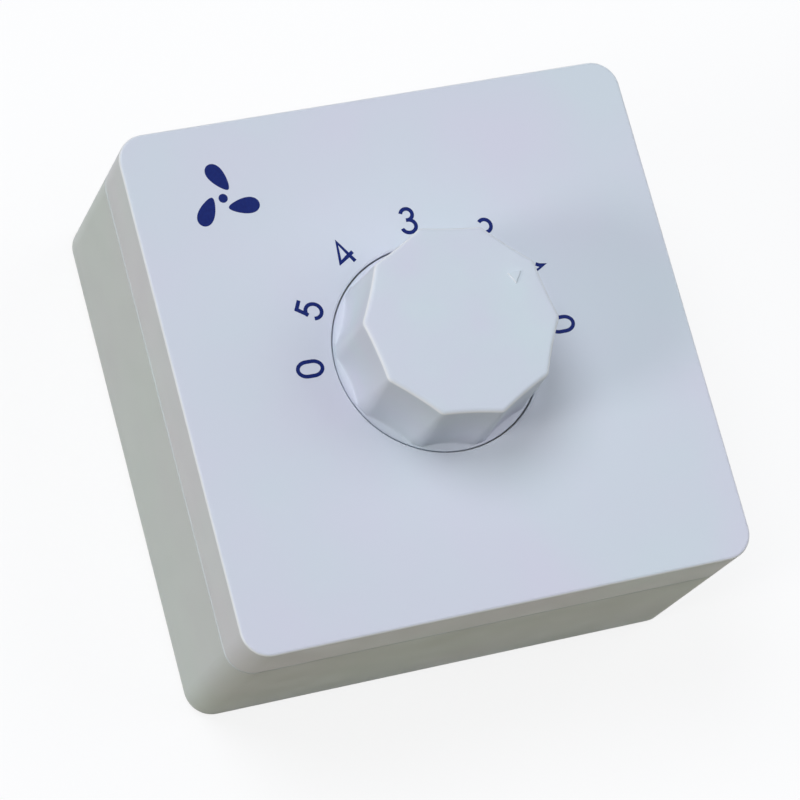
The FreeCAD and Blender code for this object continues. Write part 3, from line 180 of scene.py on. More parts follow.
def put_in(name: str, data: Any) -> bpy.types.Object:
    """Puts a mesh, a lamp or a camera into the scene.

    Args:
        name: Name of the object.
        data: What it shows.

    Returns:
        The object.
    """
    item = bpy.data.objects.new(name, data)
    bpy.context.scene.collection.objects.link(item)
    return item


class Finish(Protocol):
    """A finish knows how to make its material."""

    def build(self) -> bpy.types.Material:
        """Makes the material."""
        ...


@dataclass
class Coating:
    """A new material with a principled shader, its object coordinates and what all finishes share."""

    name: str

    def __post_init__(self) -> None:
        """Starts the material with an empty tree."""
        self.material = bpy.data.materials.new(self.name)
        self.tree = empty_tree(self.material)
        self.shader = add_node(self.tree, "ShaderNodeBsdfPrincipled")
        add_node(self.tree, "ShaderNodeOutputMaterial", {"Surface": self.shader.outputs["BSDF"]})
        self.place = add_node(self.tree, "ShaderNodeTexCoord").outputs["Object"]
        self.normal: bpy.types.NodeSocket | None = None
        self.tinted: Any = None

    def mottle(self, size_mm: float, detail: float = 3.0, stretch: Point3 = EVEN) -> bpy.types.NodeSocket:
        """Cloudy pattern from 0 to 1.

        Args:
            size_mm: Distance between clouds.
            detail: Octaves of finer clouds.
            stretch: How much longer the clouds are along each axis.

        Returns:
            The pattern's value.
        """
        squeeze = tuple(1.0 / share for share in stretch)
        mapping = add_node(self.tree, "ShaderNodeMapping", {"Vector": self.place, "Scale": squeeze})
        noise = add_node(
            self.tree, "ShaderNodeTexNoise",
            {"Vector": mapping.outputs["Vector"], "Scale": per_metre(size_mm), "Detail": detail},
        )
        return noise.outputs["Fac"]

    def bands(self, pitch_mm: float, direction: Axis, wobble: float) -> bpy.types.NodeSocket:
        """Even bands across one axis.

        Args:
            pitch_mm: Distance from band to band.
            direction: Axis that the bands follow one another along.
            wobble: How far the bands stray, in radians of their wave.

        Returns:
            The pattern's value.
        """
        scale = per_metre(pitch_mm) * math.tau / WAVE_RADIANS
        wave = add_node(
            self.tree, "ShaderNodeTexWave", {"Vector": self.place, "Scale": scale, "Distortion": wobble},
            wave_type="BANDS", bands_direction=direction.value, wave_profile="SIN",
        )
        return wave.outputs["Fac"]

    def drift(self, low: float, high: float, **pattern: Any) -> bpy.types.NodeSocket:
        """Value that drifts between two ends in clouds.

        Args:
            low: Result where the clouds are weak.
            high: Result where they are strong.
            pattern: The clouds, as mottle takes them.

        Returns:
            The value.
        """
        clouds = {"Value": self.mottle(**pattern), "From Min": CLOUD_LOW, "From Max": CLOUD_HIGH}
        spread = add_node(self.tree, "ShaderNodeMapRange", {**clouds, "To Min": low, "To Max": high})
        return spread.outputs["Result"]

    def clouds(self, first: str, second: str, **pattern: Any) -> None:
        """Colours the surface in clouds of two sRGB colours."""
        self.paint(self.drift(0.0, 1.0, **pattern), first, second)

    def paint(self, share: bpy.types.NodeSocket, first: str, second: str) -> None:
        """Colours the surface from one sRGB colour to another by a share."""
        self.tinted = linear(first)
        self.tint(share, second)

    def tint(self, share: bpy.types.NodeSocket, other: str) -> None:
        """Turns the colour that the surface has so far toward another sRGB colour by a share.

        Args:
            share: Share of the other colour, from 0 to 1.
            other: The other colour.
        """
        ends = {0: share, 6: self.tinted, 7: linear(other)}
        self.tinted = add_node(self.tree, "ShaderNodeMix", ends, data_type="RGBA").outputs[2]
        self.set(Base_Color=self.tinted)

    def formula(self, value: Any, *steps: tuple[str, Any]) -> bpy.types.NodeSocket:
        """Works a value or socket through steps of arithmetic.

        Args:
            value: What it starts from.
            steps: Each step's operation and its second value or socket.

        Returns:
            The result.
        """
        for operation, other in steps:
            node = add_node(self.tree, "ShaderNodeMath", {0: value, 1: other}, operation=operation)
            value = node.outputs["Value"]
        return value

    def upper_edges(self, from_height: float, sharpness: float) -> bpy.types.NodeSocket:
        """Share from 0 on level and upright surfaces to 1 on edges that slant upward halfway.

        Args:
            from_height: Height in millimetres below which it stays 0.
            sharpness: Power that narrows it.

        Returns:
            The share.
        """
        normal = add_node(self.tree, "ShaderNodeNewGeometry").outputs["Normal"]
        facing = add_node(self.tree, "ShaderNodeSeparateXYZ", {"Vector": normal}).outputs["Z"]
        height = add_node(self.tree, "ShaderNodeSeparateXYZ", {"Vector": self.place}).outputs["Z"]
        lift = self.formula(facing, ("MAXIMUM", 0.0))
        rest = self.formula(1.0, ("SUBTRACT", lift))
        above = self.formula(height, ("GREATER_THAN", from_height * MM))
        # Four times lift and rest is 1 where the surface slants halfway.
        return self.formula(
            lift, ("MULTIPLY", rest), ("MULTIPLY", 4.0), ("POWER", sharpness), ("MULTIPLY", above),
        )

    def set(self, **values: Any) -> None:
        """Sets or links sockets of the shader. Underscores in the names stand for spaces."""
        fill(self.tree, self.shader, {name.replace("_", " "): value for name, value in values.items()})

    def relief(self, height: bpy.types.NodeSocket, depth_mm: float) -> None:
        """Adds a fine relief on top of what the surface already has.

        Args:
            height: Pattern from 0 at the bottom to 1 at the top.
            depth_mm: How deep it is.
        """
        inputs = {"Height": height, "Distance": depth_mm * MM, "Strength": 1.0}
        if self.normal is not None:
            inputs["Normal"] = self.normal
        self.normal = add_node(self.tree, "ShaderNodeBump", inputs).outputs["Normal"]
        self.set(Normal=self.normal)

    def soft_edges(self, radius_mm: float) -> None:
        """Shades sharp edges as if they were rounded by a moulding or plating radius.

        Args:
            radius_mm: The radius.
        """
        bevel = add_node(self.tree, "ShaderNodeBevel", {"Radius": radius_mm * MM}, samples=6)
        self.normal = bevel.outputs["Normal"]
        self.set(Normal=self.normal)


@dataclass(frozen=True)
class MouldedAbs:
    """White ABS, injection moulded to a satin surface with polished edges, and a painted highlight that
    whitens its upper edges.
    """

    name: str
    colour: str
    tint: str
    roughness: Range = (0.38, 0.48)
    gloss: float = 0.25
    edge_polish: float = 0.28
    # Colour of the painted highlight on the rounded upper edges.
    painted_highlight_colour: str = "#FAFCFF"
    edge_sharpness: float = 2.0
    edges_from: float = 0.0
    # The tone drifts over about a third of the face, and the peel has the real size of a moulded skin's.
    mottle_mm: float = 26.0
    peel_mm: float = 1.6

    def build(self) -> bpy.types.Material:
        """Makes the plastic.

        Returns:
            A cool white that drifts a little in tone, satin on the flat sides, with a faint orange peel,
            and polished on the rounded upper edges, which are also painted whiter as a thin painted highlight
            line.
        """
        coat = Coating(self.name)
        coat.soft_edges(radius_mm=0.18)
        coat.clouds(self.colour, self.tint, size_mm=self.mottle_mm, detail=2.0)
        coat.relief(coat.mottle(self.peel_mm, detail=1.0), depth_mm=0.0015)
        polished_and_highlighted_edge = coat.upper_edges(self.edges_from, self.edge_sharpness)
        # Painted highlight: the upper edges' base colour is turned toward near-white, as if they caught the
        # light.
        coat.tint(polished_and_highlighted_edge, self.painted_highlight_colour)
        satin = coat.drift(*self.roughness, size_mm=7.0, detail=4.0)
        smoother = coat.formula(polished_and_highlighted_edge, ("MULTIPLY", self.edge_polish))
        coat.set(
            Roughness=coat.formula(satin, ("SUBTRACT", smoother)),
            IOR=1.53,
            Specular_IOR_Level=self.gloss,
        )
        return coat.material


@dataclass(frozen=True)
class PadPrintInk:
    """Navy pad-printing ink."""

    name: str = "pad_print_ink_navy"
    colour: str = "#051A60"
    thin_colour: str = "#0A226C"

    def build(self) -> bpy.types.Material:
        """Makes the ink, whose film is a little thinner in places and duller than the plastic under it."""
        # The pad leaves finer specks than 0.12 mm. They would not show, so they are drawn that coarse.
        coat = Coating(self.name)
        coat.clouds(self.colour, self.thin_colour, size_mm=0.5, detail=2.0)
        coat.relief(coat.mottle(size_mm=0.12, detail=1.0), depth_mm=0.004)
        coat.set(Roughness=coat.drift(0.38, 0.52, size_mm=0.9), IOR=1.5, Specular_IOR_Level=0.15)
        return coat.material


@dataclass(frozen=True)
class PlatedSteel:
    """Steel with a bright metal plating over a rolled or turned surface."""

    name: str
    colour: str
    stain: str
    roughness: Range = (0.22, 0.38)
    # Real rolling grain is under 0.1 mm wide, too fine to show, so it is drawn coarser.
    grain_mm: float = 0.35
    grain_stretch: Point3 = (6.0, 1.0, 1.0)

    def build(self) -> bpy.types.Material:
        """Makes the metal: fine grain lines under the plating and slightly cloudy reflections."""
        coat = Coating(self.name)
        coat.soft_edges(radius_mm=0.08)
        coat.clouds(self.colour, self.stain, size_mm=3.0)
        coat.relief(coat.mottle(self.grain_mm, 2.0, self.grain_stretch), depth_mm=0.004)
        coat.set(Metallic=1.0, Roughness=coat.drift(*self.roughness, size_mm=1.6))
        return coat.material


@dataclass(frozen=True)
class TurnedBrass:
    """Brass bar turned on a lathe."""

    name: str = "turned_brass"
    colour: str = "#C9A557"
    tarnish: str = "#A9803A"
    # How far the tool moves on in one turn of the bar.
    feed_mm: float = 0.18

    def build(self) -> bpy.types.Material:
        """Makes the brass: a warm yellow with tool marks along the bar and a light tarnish."""
        coat = Coating(self.name)
        coat.soft_edges(radius_mm=0.08)
        coat.clouds(self.colour, self.tarnish, size_mm=2.2, detail=4.0)
        coat.relief(coat.bands(self.feed_mm, Axis.Z, wobble=0.6), depth_mm=0.006)
        coat.set(Metallic=1.0, Roughness=coat.drift(0.22, 0.36, size_mm=1.2))
        return coat.material


@dataclass(frozen=True)
class StampedBronze:
    """Phosphor bronze strip, stamped and lightly oxidised."""

    name: str = "stamped_phosphor_bronze"
    colour: str = "#C08A58"
    oxide: str = "#8E5C38"

    def build(self) -> bpy.types.Material:
        """Makes the strip: a reddish metal with rolling lines and darker fingerprints of oxide."""
        coat = Coating(self.name)
        coat.soft_edges(radius_mm=0.05)
        coat.clouds(self.colour, self.oxide, size_mm=1.8, detail=5.0)
        # Rolling lines are finer than this in real strip and are drawn coarser, so that they show.
        coat.relief(coat.mottle(size_mm=0.2, detail=2.0, stretch=(8.0, 1.0, 1.0)), depth_mm=0.003)
        coat.set(Metallic=1.0, Roughness=coat.drift(0.25, 0.42, size_mm=0.8))
        return coat.material


@dataclass(frozen=True)
class MouldedPlastic:
    """Unpainted technical plastic with the spark-eroded skin of its mould."""

    name: str
    colour: str
    tint: str
    roughness: Range = (0.42, 0.56)
    ior: float = 1.53
    # A spark-eroded mould leaves pits under 0.1 mm wide, too fine to show, so they are drawn coarser.
    grain_mm: float = 0.22
    translucency: float = 0.12

    def build(self) -> bpy.types.Material:
        """Makes the plastic: a satin skin with a fine even grain and soft light inside its walls."""
        coat = Coating(self.name)
        coat.soft_edges(radius_mm=0.12)
        coat.clouds(self.colour, self.tint, size_mm=6.0)
        coat.relief(coat.mottle(self.grain_mm, detail=2.0), depth_mm=0.012)
        coat.set(
            Roughness=coat.drift(*self.roughness, size_mm=2.0),
            IOR=self.ior,
            Subsurface_Weight=self.translucency,
            Subsurface_Radius=(1.4, 1.1, 0.8),
            Subsurface_Scale=0.8 * MM,
        )
        return coat.material


@dataclass(frozen=True)
class PhenolicBoard:
    """Paper board bonded with phenolic resin and punched to shape."""

    name: str = "phenolic_paper_board"
    colour: str = "#7A4A28"
    fibre: str = "#5E3419"

    def build(self) -> bpy.types.Material:
        """Makes the board: brown with long paper fibres in it and a pressed, half glossy face."""
        coat = Coating(self.name)
        coat.clouds(self.colour, self.fibre, size_mm=0.8, detail=5.0, stretch=(4.0, 1.0, 1.0))
        # Single fibres are too fine to show, so bundles of them are drawn.
        coat.relief(coat.mottle(size_mm=0.4, stretch=(5.0, 1.0, 1.0)), depth_mm=0.01)
        coat.set(Roughness=coat.drift(0.35, 0.5, size_mm=1.5), IOR=1.6)
        return coat.material


@dataclass(frozen=True)
class BandedBody:
    """Body built up of equal layers, such as a stack of sheets or a wound coil."""

    name: str
    colour: str
    gap_colour: str
    pitch_mm: float
    direction: Axis
    metallic: float
    roughness: Range
    depth_mm: float
    gap_until: float = 0.05
    layer_from: float = 0.4

    def build(self) -> bpy.types.Material:
        """Makes the layers: one band each at their true pitch, with dark lines where they meet."""
        coat = Coating(self.name)
        bands = coat.bands(self.pitch_mm, self.direction, wobble=0.3)
        inputs = {"Value": bands, "From Min": self.gap_until, "From Max": self.layer_from}
        layers = add_node(coat.tree, "ShaderNodeMapRange", inputs)
        coat.paint(layers.outputs["Result"], self.gap_colour, self.colour)
        coat.relief(bands, self.depth_mm)
        coat.set(Metallic=self.metallic, Roughness=coat.drift(*self.roughness, size_mm=2.0))
        return coat.material


@dataclass(frozen=True)
class PolyesterTape:
    """Yellow polyester film tape wound round the coil."""

    name: str = "polyester_film_tape"
    colour: str = "#E3BC2C"
    shade: str = "#C99A18"

    def build(self) -> bpy.types.Material:
        """Makes the tape: clear gloss over yellow, with the slack wrinkles of a hand-wound end."""
        coat = Coating(self.name)
        coat.clouds(self.colour, self.shade, size_mm=5.0, stretch=(1.0, 1.0, 4.0))
        coat.relief(coat.mottle(size_mm=2.2, detail=2.0, stretch=(1.0, 1.0, 5.0)), depth_mm=0.08)
        coat.set(Roughness=coat.drift(0.16, 0.3, size_mm=3.0), IOR=1.6, Coat_Weight=0.4)
        return coat.material


@dataclass(frozen=True)
class LeadInsulation:
    """Extruded PVC insulation of a thin lead."""

    name: str
    colour: str
    shade: str

    def build(self) -> bpy.types.Material:
        """Makes the insulation: a soft gloss with the faint draw lines of the extruder."""
        coat = Coating(self.name)
        coat.clouds(self.colour, self.shade, size_mm=3.0)
        coat.relief(coat.mottle(size_mm=0.3, detail=2.0), depth_mm=0.01)
        coat.set(Roughness=coat.drift(0.32, 0.46, size_mm=1.0), IOR=1.54)
        return coat.material


WHITE_COVER = MouldedAbs("moulded_abs_cover", "#DAE3E9", "#DEDEEA", edges_from=35.0)
WHITE_BOX = MouldedAbs("moulded_abs_box", "#D8E2E4", "#D9DEE4", gloss=0.1, edges_from=35.0)
WHITE_KNOB = MouldedAbs(
    "moulded_abs_knob", "#D9E4E9", "#DBDDE9", gloss=0.35, edges_from=50.0, mottle_mm=13.0,
)
ZINC = PlatedSteel("zinc_plated_steel", "#C6C9CC", "#AEB2B5")
SPRING = PlatedSteel("spring_steel_strip", "#9EA1A4", "#83868A", roughness=(0.16, 0.32))
NICKEL = PlatedSteel(
    "nickel_plated_casting", "#BDB7AA", "#A39C90", roughness=(0.28, 0.44), grain_stretch=EVEN,
)
BRASS = TurnedBrass()
BRONZE = StampedBronze()
FRAME_ABS = MouldedPlastic("moulded_abs_frame", "#E2E2DC", "#D8D8D0")
NYLON = MouldedPlastic("natural_nylon", "#E8E0C6", "#DDD2B0", translucency=0.25)
POLYAMIDE = MouldedPlastic("polyamide_terminal", "#E0E0DA", "#D2D2CA", roughness=(0.34, 0.48))
PHENOLIC = PhenolicBoard()
INK = PadPrintInk()
LAMINATIONS = BandedBody(
    "varnished_laminations", "#4A4B4E", "#1C1C1E", pitch_mm=0.5, direction=Axis.Y, metallic=0.6,
    roughness=(0.36, 0.52), depth_mm=0.05,
)
WINDING = BandedBody(
    "enamelled_copper_winding", "#B4592C", "#4E2010", pitch_mm=0.5, direction=Axis.Z, metallic=0.8,
    roughness=(0.24, 0.4), depth_mm=0.12,
)
TAPE = PolyesterTape()


class Frame:
    """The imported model: its nodes by name, and ways to dress them and to add pieces."""

    def __init__(self, loaded: dict[str, Any]) -> None:
        self.nodes: dict[str, bpy.types.Object] = loaded["nodes"]
        self.made: dict[str, bpy.types.Material] = {}

    def material(self, finish: Finish) -> bpy.types.Material:
        """Gives a finish's material, made on first use, so that pieces of one kind share it.

        Args:
            finish: The finish, which has a name of its own.

        Returns:
            Its material.
        """
        if finish.name not in self.made:
            self.made[finish.name] = finish.build()
        return self.made[finish.name]

    def dress(self, node: str, finish: Finish) -> None:
        """Gives a CAD node its finish in every material slot.

        Args:
            node: Name of the node.
            finish: The finish.
        """
        body = self.nodes[node]
        material = self.material(finish)
        if not body.material_slots:
            body.data.materials.append(material)
        for holder in body.material_slots:
            holder.material = material
        LOG.info("dressed %s in %s", node, finish.name)

    def add(
        self, mesh: bpy.types.Mesh, name: str, body: Body, finish: Finish, slot: str,
    ) -> bpy.types.Object:
        """Puts a new piece into the scene on one body.

        Args:
            mesh: The piece's mesh, in metres in the row frame.
            name: Name of the piece.
            body: The body that it rides on.
            finish: Its finish.
            slot: Name of a material slot in the record; it is not used.

        Returns:
            The piece.
        """
        piece = put_in(name, mesh)
        mesh.materials.append(self.material(finish))
        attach(piece, body.value)
        LOG.info("built %s: %d faces, in %s", name, len(mesh.polygons), finish.name)
        return piece


def mesh_from(name: str, vertices: Sequence[Point3], faces: Sequence[Sequence[int]]) -> bpy.types.Mesh:
    """Makes a mesh from points in millimetres.

    Args:
        name: Name of the mesh.
        vertices: Points in millimetres in the row frame.
        faces: Corner numbers of each face, anticlockwise seen from outside.

    Returns:
        The mesh in metres with outward normals.
    """
    mesh = bpy.data.meshes.new(name)
    mesh.from_pydata([(x * MM, y * MM, z * MM) for x, y, z in vertices], [], faces)
    mesh.validate()
    return mesh


def band(lower: int, upper: int, count: int) -> list[list[int]]:
    """Faces between two closed rings of points.

    Args:
        lower: Number of the first ring's first point.
        upper: Number of the second ring's first point.
        count: Points in each ring.

    Returns:
        A face of four corners after each point.
    """
    faces = []
    for index in range(count):
        follow = (index + 1) % count
        faces.append([lower + index, lower + follow, upper + follow, upper + index])
    return faces


def crease(mesh: bpy.types.Mesh, angle_degrees: float) -> None:
    """Shades a mesh smooth except across edges sharper than an angle.

    Args:
        mesh: The mesh.
        angle_degrees: The angle.
    """
    shape = bmesh.new()
    shape.from_mesh(mesh)
    bmesh.ops.recalc_face_normals(shape, faces=shape.faces)
    limit = math.radians(angle_degrees)
    for face in shape.faces:
        face.smooth = True
    for polished_and_highlighted_edge in shape.edges:
        polished_and_highlighted_edge.smooth = len(polished_and_highlighted_edge.link_faces) == 2 and polished_and_highlighted_edge.calc_face_angle() < limit
    shape.to_mesh(mesh)
    shape.free()


def turned(point: Point, angle: float) -> Point:
    """Turns a point about the origin, in radians."""
    x, y = point
    return (x * math.cos(angle) - y * math.sin(angle), x * math.sin(angle) + y * math.cos(angle))


def arc(centre: Point, radii: Point, start: float, end: float, steps: int) -> list[Point]:
    """Points on an elliptic arc.

    Args:
        centre: Centre of the arc.
        radii: Half sizes along x and y.
        start: First angle in degrees.
        end: Last angle in degrees.
        steps: Number of chords.

    Returns:
        Points from start to end.
    """
    points = []
    for index in range(steps + 1):
        angle = math.radians(start + (end - start) * index / steps)
        points.append((centre[0] + radii[0] * math.cos(angle), centre[1] + radii[1] * math.sin(angle)))
    return points


def offset_line(points: Sequence[Point], distance: float, closed: bool) -> list[Point]:
    """Moves a line sideways with mitred corners.

    Args:
        points: The line.
        distance: How far to its left.
        closed: Whether the last point joins the first.

    Returns:
        The moved line, with as many points.
    """
    count = len(points)
    moved = []
    for index, point in enumerate(points):
        before = points[index - 1] if closed or index else None
        after = points[(index + 1) % count] if closed or index < count - 1 else None
        sides = []
        for first, second in ((before, point), (point, after)):
            if first is not None and second is not None:
                run = Vector((second[0] - first[0], second[1] - first[1])).normalized()
                sides.append(Vector((-run.y, run.x)))
        middle = (sides[0] + sides[-1]).normalized()
        reach = distance / max(middle.dot(sides[0]), MITRE_LIMIT)
        moved.append((point[0] + middle.x * reach, point[1] + middle.y * reach))
    return moved


@dataclass
class Stroke:
    """One pen stroke of a numeral in a box one wide and one high."""

    points: list[Point]
    closed: bool = False


def numeral_strokes() -> dict[str, list[Stroke]]:
    """Pen strokes of plain upright numerals.

    Returns:
        Strokes by numeral, each in a box one wide and one high.
    """
    upper_bow = arc((0.5, 0.62), (0.5, 0.38), 0, 180, 20)
    lower_bow = arc((0.5, 0.38), (0.5, 0.38), 180, 360, 20)
    return {
        "0": [Stroke(upper_bow + lower_bow, closed=True)],
        "1": [Stroke([(0.14, 0.72), (0.36, 0.82), (0.52, 1.0), (0.52, 0.0)])],
        "2": [Stroke(arc((0.5, 0.73), (0.46, 0.27), 172, -38, 18) + [(0.02, 0.0), (1.0, 0.0)])],
        "3": [
            Stroke(arc((0.47, 0.765), (0.41, 0.235), 168, -90, 20) + [(0.36, 0.53)]),
            Stroke([(0.36, 0.53)] + arc((0.47, 0.265), (0.5, 0.265), 90, -165, 22)),
        ],
        "4": [
            Stroke([(0.78, -0.04), (0.78, 1.0), (-0.08, 0.3), (0.6, 0.3)]),
            Stroke([(0.45, 0.3), (1.12, 0.3)]),
        ],
        "5": [
            Stroke([(0.9, 1.0), (0.24, 1.0), (0.11, 0.49)]),
            Stroke(arc((0.47, 0.33), (0.5, 0.33), 146, -160, 22)),
        ],
    }


@dataclass
class DialPrint:
    """Numerals round the knob and a plain fan sign, pad printed on the face."""

    radius: float = 21.35
    height: float = 4.65
    width: float = 3.0
    stroke: float = 0.62
    film: float = 0.03
    sink: float = 0.01
    overlap_step: float = 0.002
    sign_centre: Point = (-28.0, 30.3)
    blade_place: float = 3.55
    blade_length: float = 2.55
    blade_width: float = 1.3
    blade_lean: float = 28.0
    blade_swell: float = 0.35
    blade_count: int = 3
    blade_steps: int = 40
    sign_hub: float = 0.75
    hub_steps: int = 24
    crease_angle: float = 40.0

    def build(self, frame: Frame) -> None:
        """Prints the dial numbers and the fan sign.

        Args:
            frame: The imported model.
        """
        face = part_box("front_cover")[1].z / MM
        vertices: list[Point3] = []
        faces: list[list[int]] = []
        strokes = numeral_strokes()
        for numeral, angle, reach in self.places():
            for number, stroke in enumerate(strokes[numeral]):
                line = [self.on_dial(point, angle, self.radius + reach) for point in stroke.points]
                # Strokes that cross lie at heights of their own, so that no two surfaces coincide.
                top = face + self.film + number * self.overlap_step
                self.ribbon(line, stroke.closed, face, top, vertices, faces)
        mesh = mesh_from("dial_numbers", vertices, faces)
        crease(mesh, self.crease_angle)
        frame.add(mesh, "dial_numbers", Body.HOUSING, INK, "dial_ink")
        self.sign(frame, face)

    def places(self) -> list[tuple[str, float, float]]:
        """Numerals with their angles about the knob's axis, and how far each is off the usual radius."""
        return [
            ("0", 179.0, 0.0), ("5", 152.5, 0.0), ("4", 122.0, -0.25), ("3", 87.5, 0.15),
            ("2", 54.2, 0.45), ("1", 25.9, 0.4), ("0", 0.1, 0.1),
        ]

    def on_dial(self, point: Point, angle: float, radius: float) -> Point:
        """Places a point of a numeral on the face, with the numeral's top outward.

        Args:
            point: Place in the numeral's box, which is one wide and one high.
            angle: Where the numeral stands round the knob, in degrees.
            radius: Distance of its middle from the knob's axis.

        Returns:
            The point on the face.
        """
        across = (point[0] - 0.5) * (self.width - self.stroke)
        outward = (point[1] - 0.5) * (self.height - self.stroke)
        return turned((radius + outward, -across), math.radians(angle))

    def ribbon(
        self, line: list[Point], closed: bool, face: float, top: float,
        vertices: list[Point3], faces: list[list[int]],
    ) -> None:
        """Adds one stroke as a thin closed body on the face.

        Args:
            line: Middle line of the stroke in millimetres.
            closed: Whether the stroke is a ring.
            face: Height of the face.
            top: Height of the ink's surface.
            vertices: Points so far, to add to.
            faces: Faces so far, to add to.
        """
        left = offset_line(line, self.stroke / 2, closed)
        right = offset_line(line, -self.stroke / 2, closed)
        first = len(vertices)
        for one, other in zip(left, right):
            vertices.extend([
                (one[0], one[1], top), (other[0], other[1], top),
                (other[0], other[1], face - self.sink), (one[0], one[1], face - self.sink),
            ])
        count = len(line)
        for index in range(count if closed else count - 1):
            faces += band(first + 4 * index, first + 4 * ((index + 1) % count), 4)
        if not closed:
            faces.append([first + 3, first + 2, first + 1, first])
            last = first + 4 * (count - 1)
            faces.append([last, last + 1, last + 2, last + 3])

    def sign(self, frame: Frame, face: float) -> None:
        """Prints a plain fan: three leaning blades round a hub.

        Args:
            frame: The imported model.
            face: Height of the face.
        """
        shape = bmesh.new()
        outlines = [arc(self.sign_centre, (self.sign_hub, self.sign_hub), 0, 360, self.hub_steps)[:-1]]
        for index in range(self.blade_count):
            turn = math.radians(90 + index * 360 / self.blade_count)
            lean = turn + math.radians(self.blade_lean)
            middle = Vector(self.sign_centre) + Vector(turned((self.blade_place, 0.0), turn))
            outline = []
            ellipse = (self.blade_length, self.blade_width)
            for x, y in arc((0.0, 0.0), ellipse, 0, 360, self.blade_steps)[:-1]:
                swell = y * (1.0 + self.blade_swell * x / self.blade_length)
                outline.append(middle + Vector(turned((x, swell), lean)))
            outlines.append(outline)
        for outline in outlines:
            ring = [shape.verts.new((x * MM, y * MM, (face - self.sink) * MM)) for x, y in outline]
            base = shape.faces.new(ring)
            raised = bmesh.ops.extrude_face_region(shape, geom=[base])
            corners = [item for item in raised["geom"] if isinstance(item, bmesh.types.BMVert)]
            bmesh.ops.translate(shape, verts=corners, vec=(0, 0, (self.film + self.sink) * MM))
        mesh = bpy.data.meshes.new("fan_sign")
        shape.to_mesh(mesh)
        shape.free()
        crease(mesh, self.crease_angle)
        frame.add(mesh, "fan_sign", Body.HOUSING, INK, "dial_ink")


class Solid:
    """A closed mesh that can be joined with others or cut by them."""

    def __init__(self, mesh: bpy.types.Mesh) -> None:
        """Puts the mesh into a working object."""
        self.piece = put_in(mesh.name, mesh)

    @classmethod
    def block(cls, low: Point3, high: Point3) -> "Solid":
        """Block between two corners in millimetres.

        Args:
            low: Corner with the least x, y and z.
            high: The opposite corner.

        Returns:
            The block.
        """
        corners = [(x, y, z) for z in (low[2], high[2]) for y in (low[1], high[1]) for x in (low[0], high[0])]
        faces = [[0, 2, 3, 1], [4, 5, 7, 6], [0, 1, 5, 4], [1, 3, 7, 5], [3, 2, 6, 7], [2, 0, 4, 6]]
        return cls(mesh_from("block", corners, faces))

    @classmethod
    def cylinder(cls, radius: float, low: float, high: float, sides: int = 64) -> "Solid":
        """Upright cylinder about the knob's axis between two heights in millimetres.

        Args:
            radius: Its radius.
            low: Height of its foot.
            high: Height of its top.
            sides: Number of flat sides that stand for the round.

        Returns:
            The cylinder.
        """
        circle = arc((0.0, 0.0), (radius, radius), 0, 360, sides)[:-1]
        vertices = [(x, y, low) for x, y in circle] + [(x, y, high) for x, y in circle]
        ends = [list(reversed(range(sides))), list(range(sides, 2 * sides))]
        return cls(mesh_from("cylinder", vertices, ends + band(0, sides, sides)))

    def turn(self, angle: float) -> None:
        """Turns the solid about the knob's axis, in radians."""
        self.piece.data.transform(Matrix.Rotation(angle, 4, "Z"))

    def join(self, other: "Solid") -> None:
        """Adds another solid, which is used up."""
        self.combine(other, Operation.JOIN)

    def cut(self, other: "Solid") -> None:
        """Takes another solid away, which is used up."""
        self.combine(other, Operation.CUT)

    def combine(self, other: "Solid", operation: Operation) -> None:
        """Applies an exact Boolean operation with another solid.

        Args:
            other: The other solid, which is used up.
            operation: What happens to this one.
        """
        modifier = self.piece.modifiers.new("combine", "BOOLEAN")
        modifier.object = other.piece
        modifier.operation = operation.value
        modifier.solver = "EXACT"
        graph = bpy.context.evaluated_depsgraph_get()
        result = bpy.data.meshes.new_from_object(self.piece.evaluated_get(graph))
        self.piece.modifiers.clear()
        self.piece.data = result
        bpy.data.objects.remove(other.piece)

    def finished(self, name: str) -> bpy.types.Mesh:
        """Gives the mesh back and removes the working object.

        Args:
            name: Name for the mesh.

        Returns:
            The mesh.
        """
        mesh = self.piece.data
        mesh.name = name
        bpy.data.objects.remove(self.piece)
        return mesh


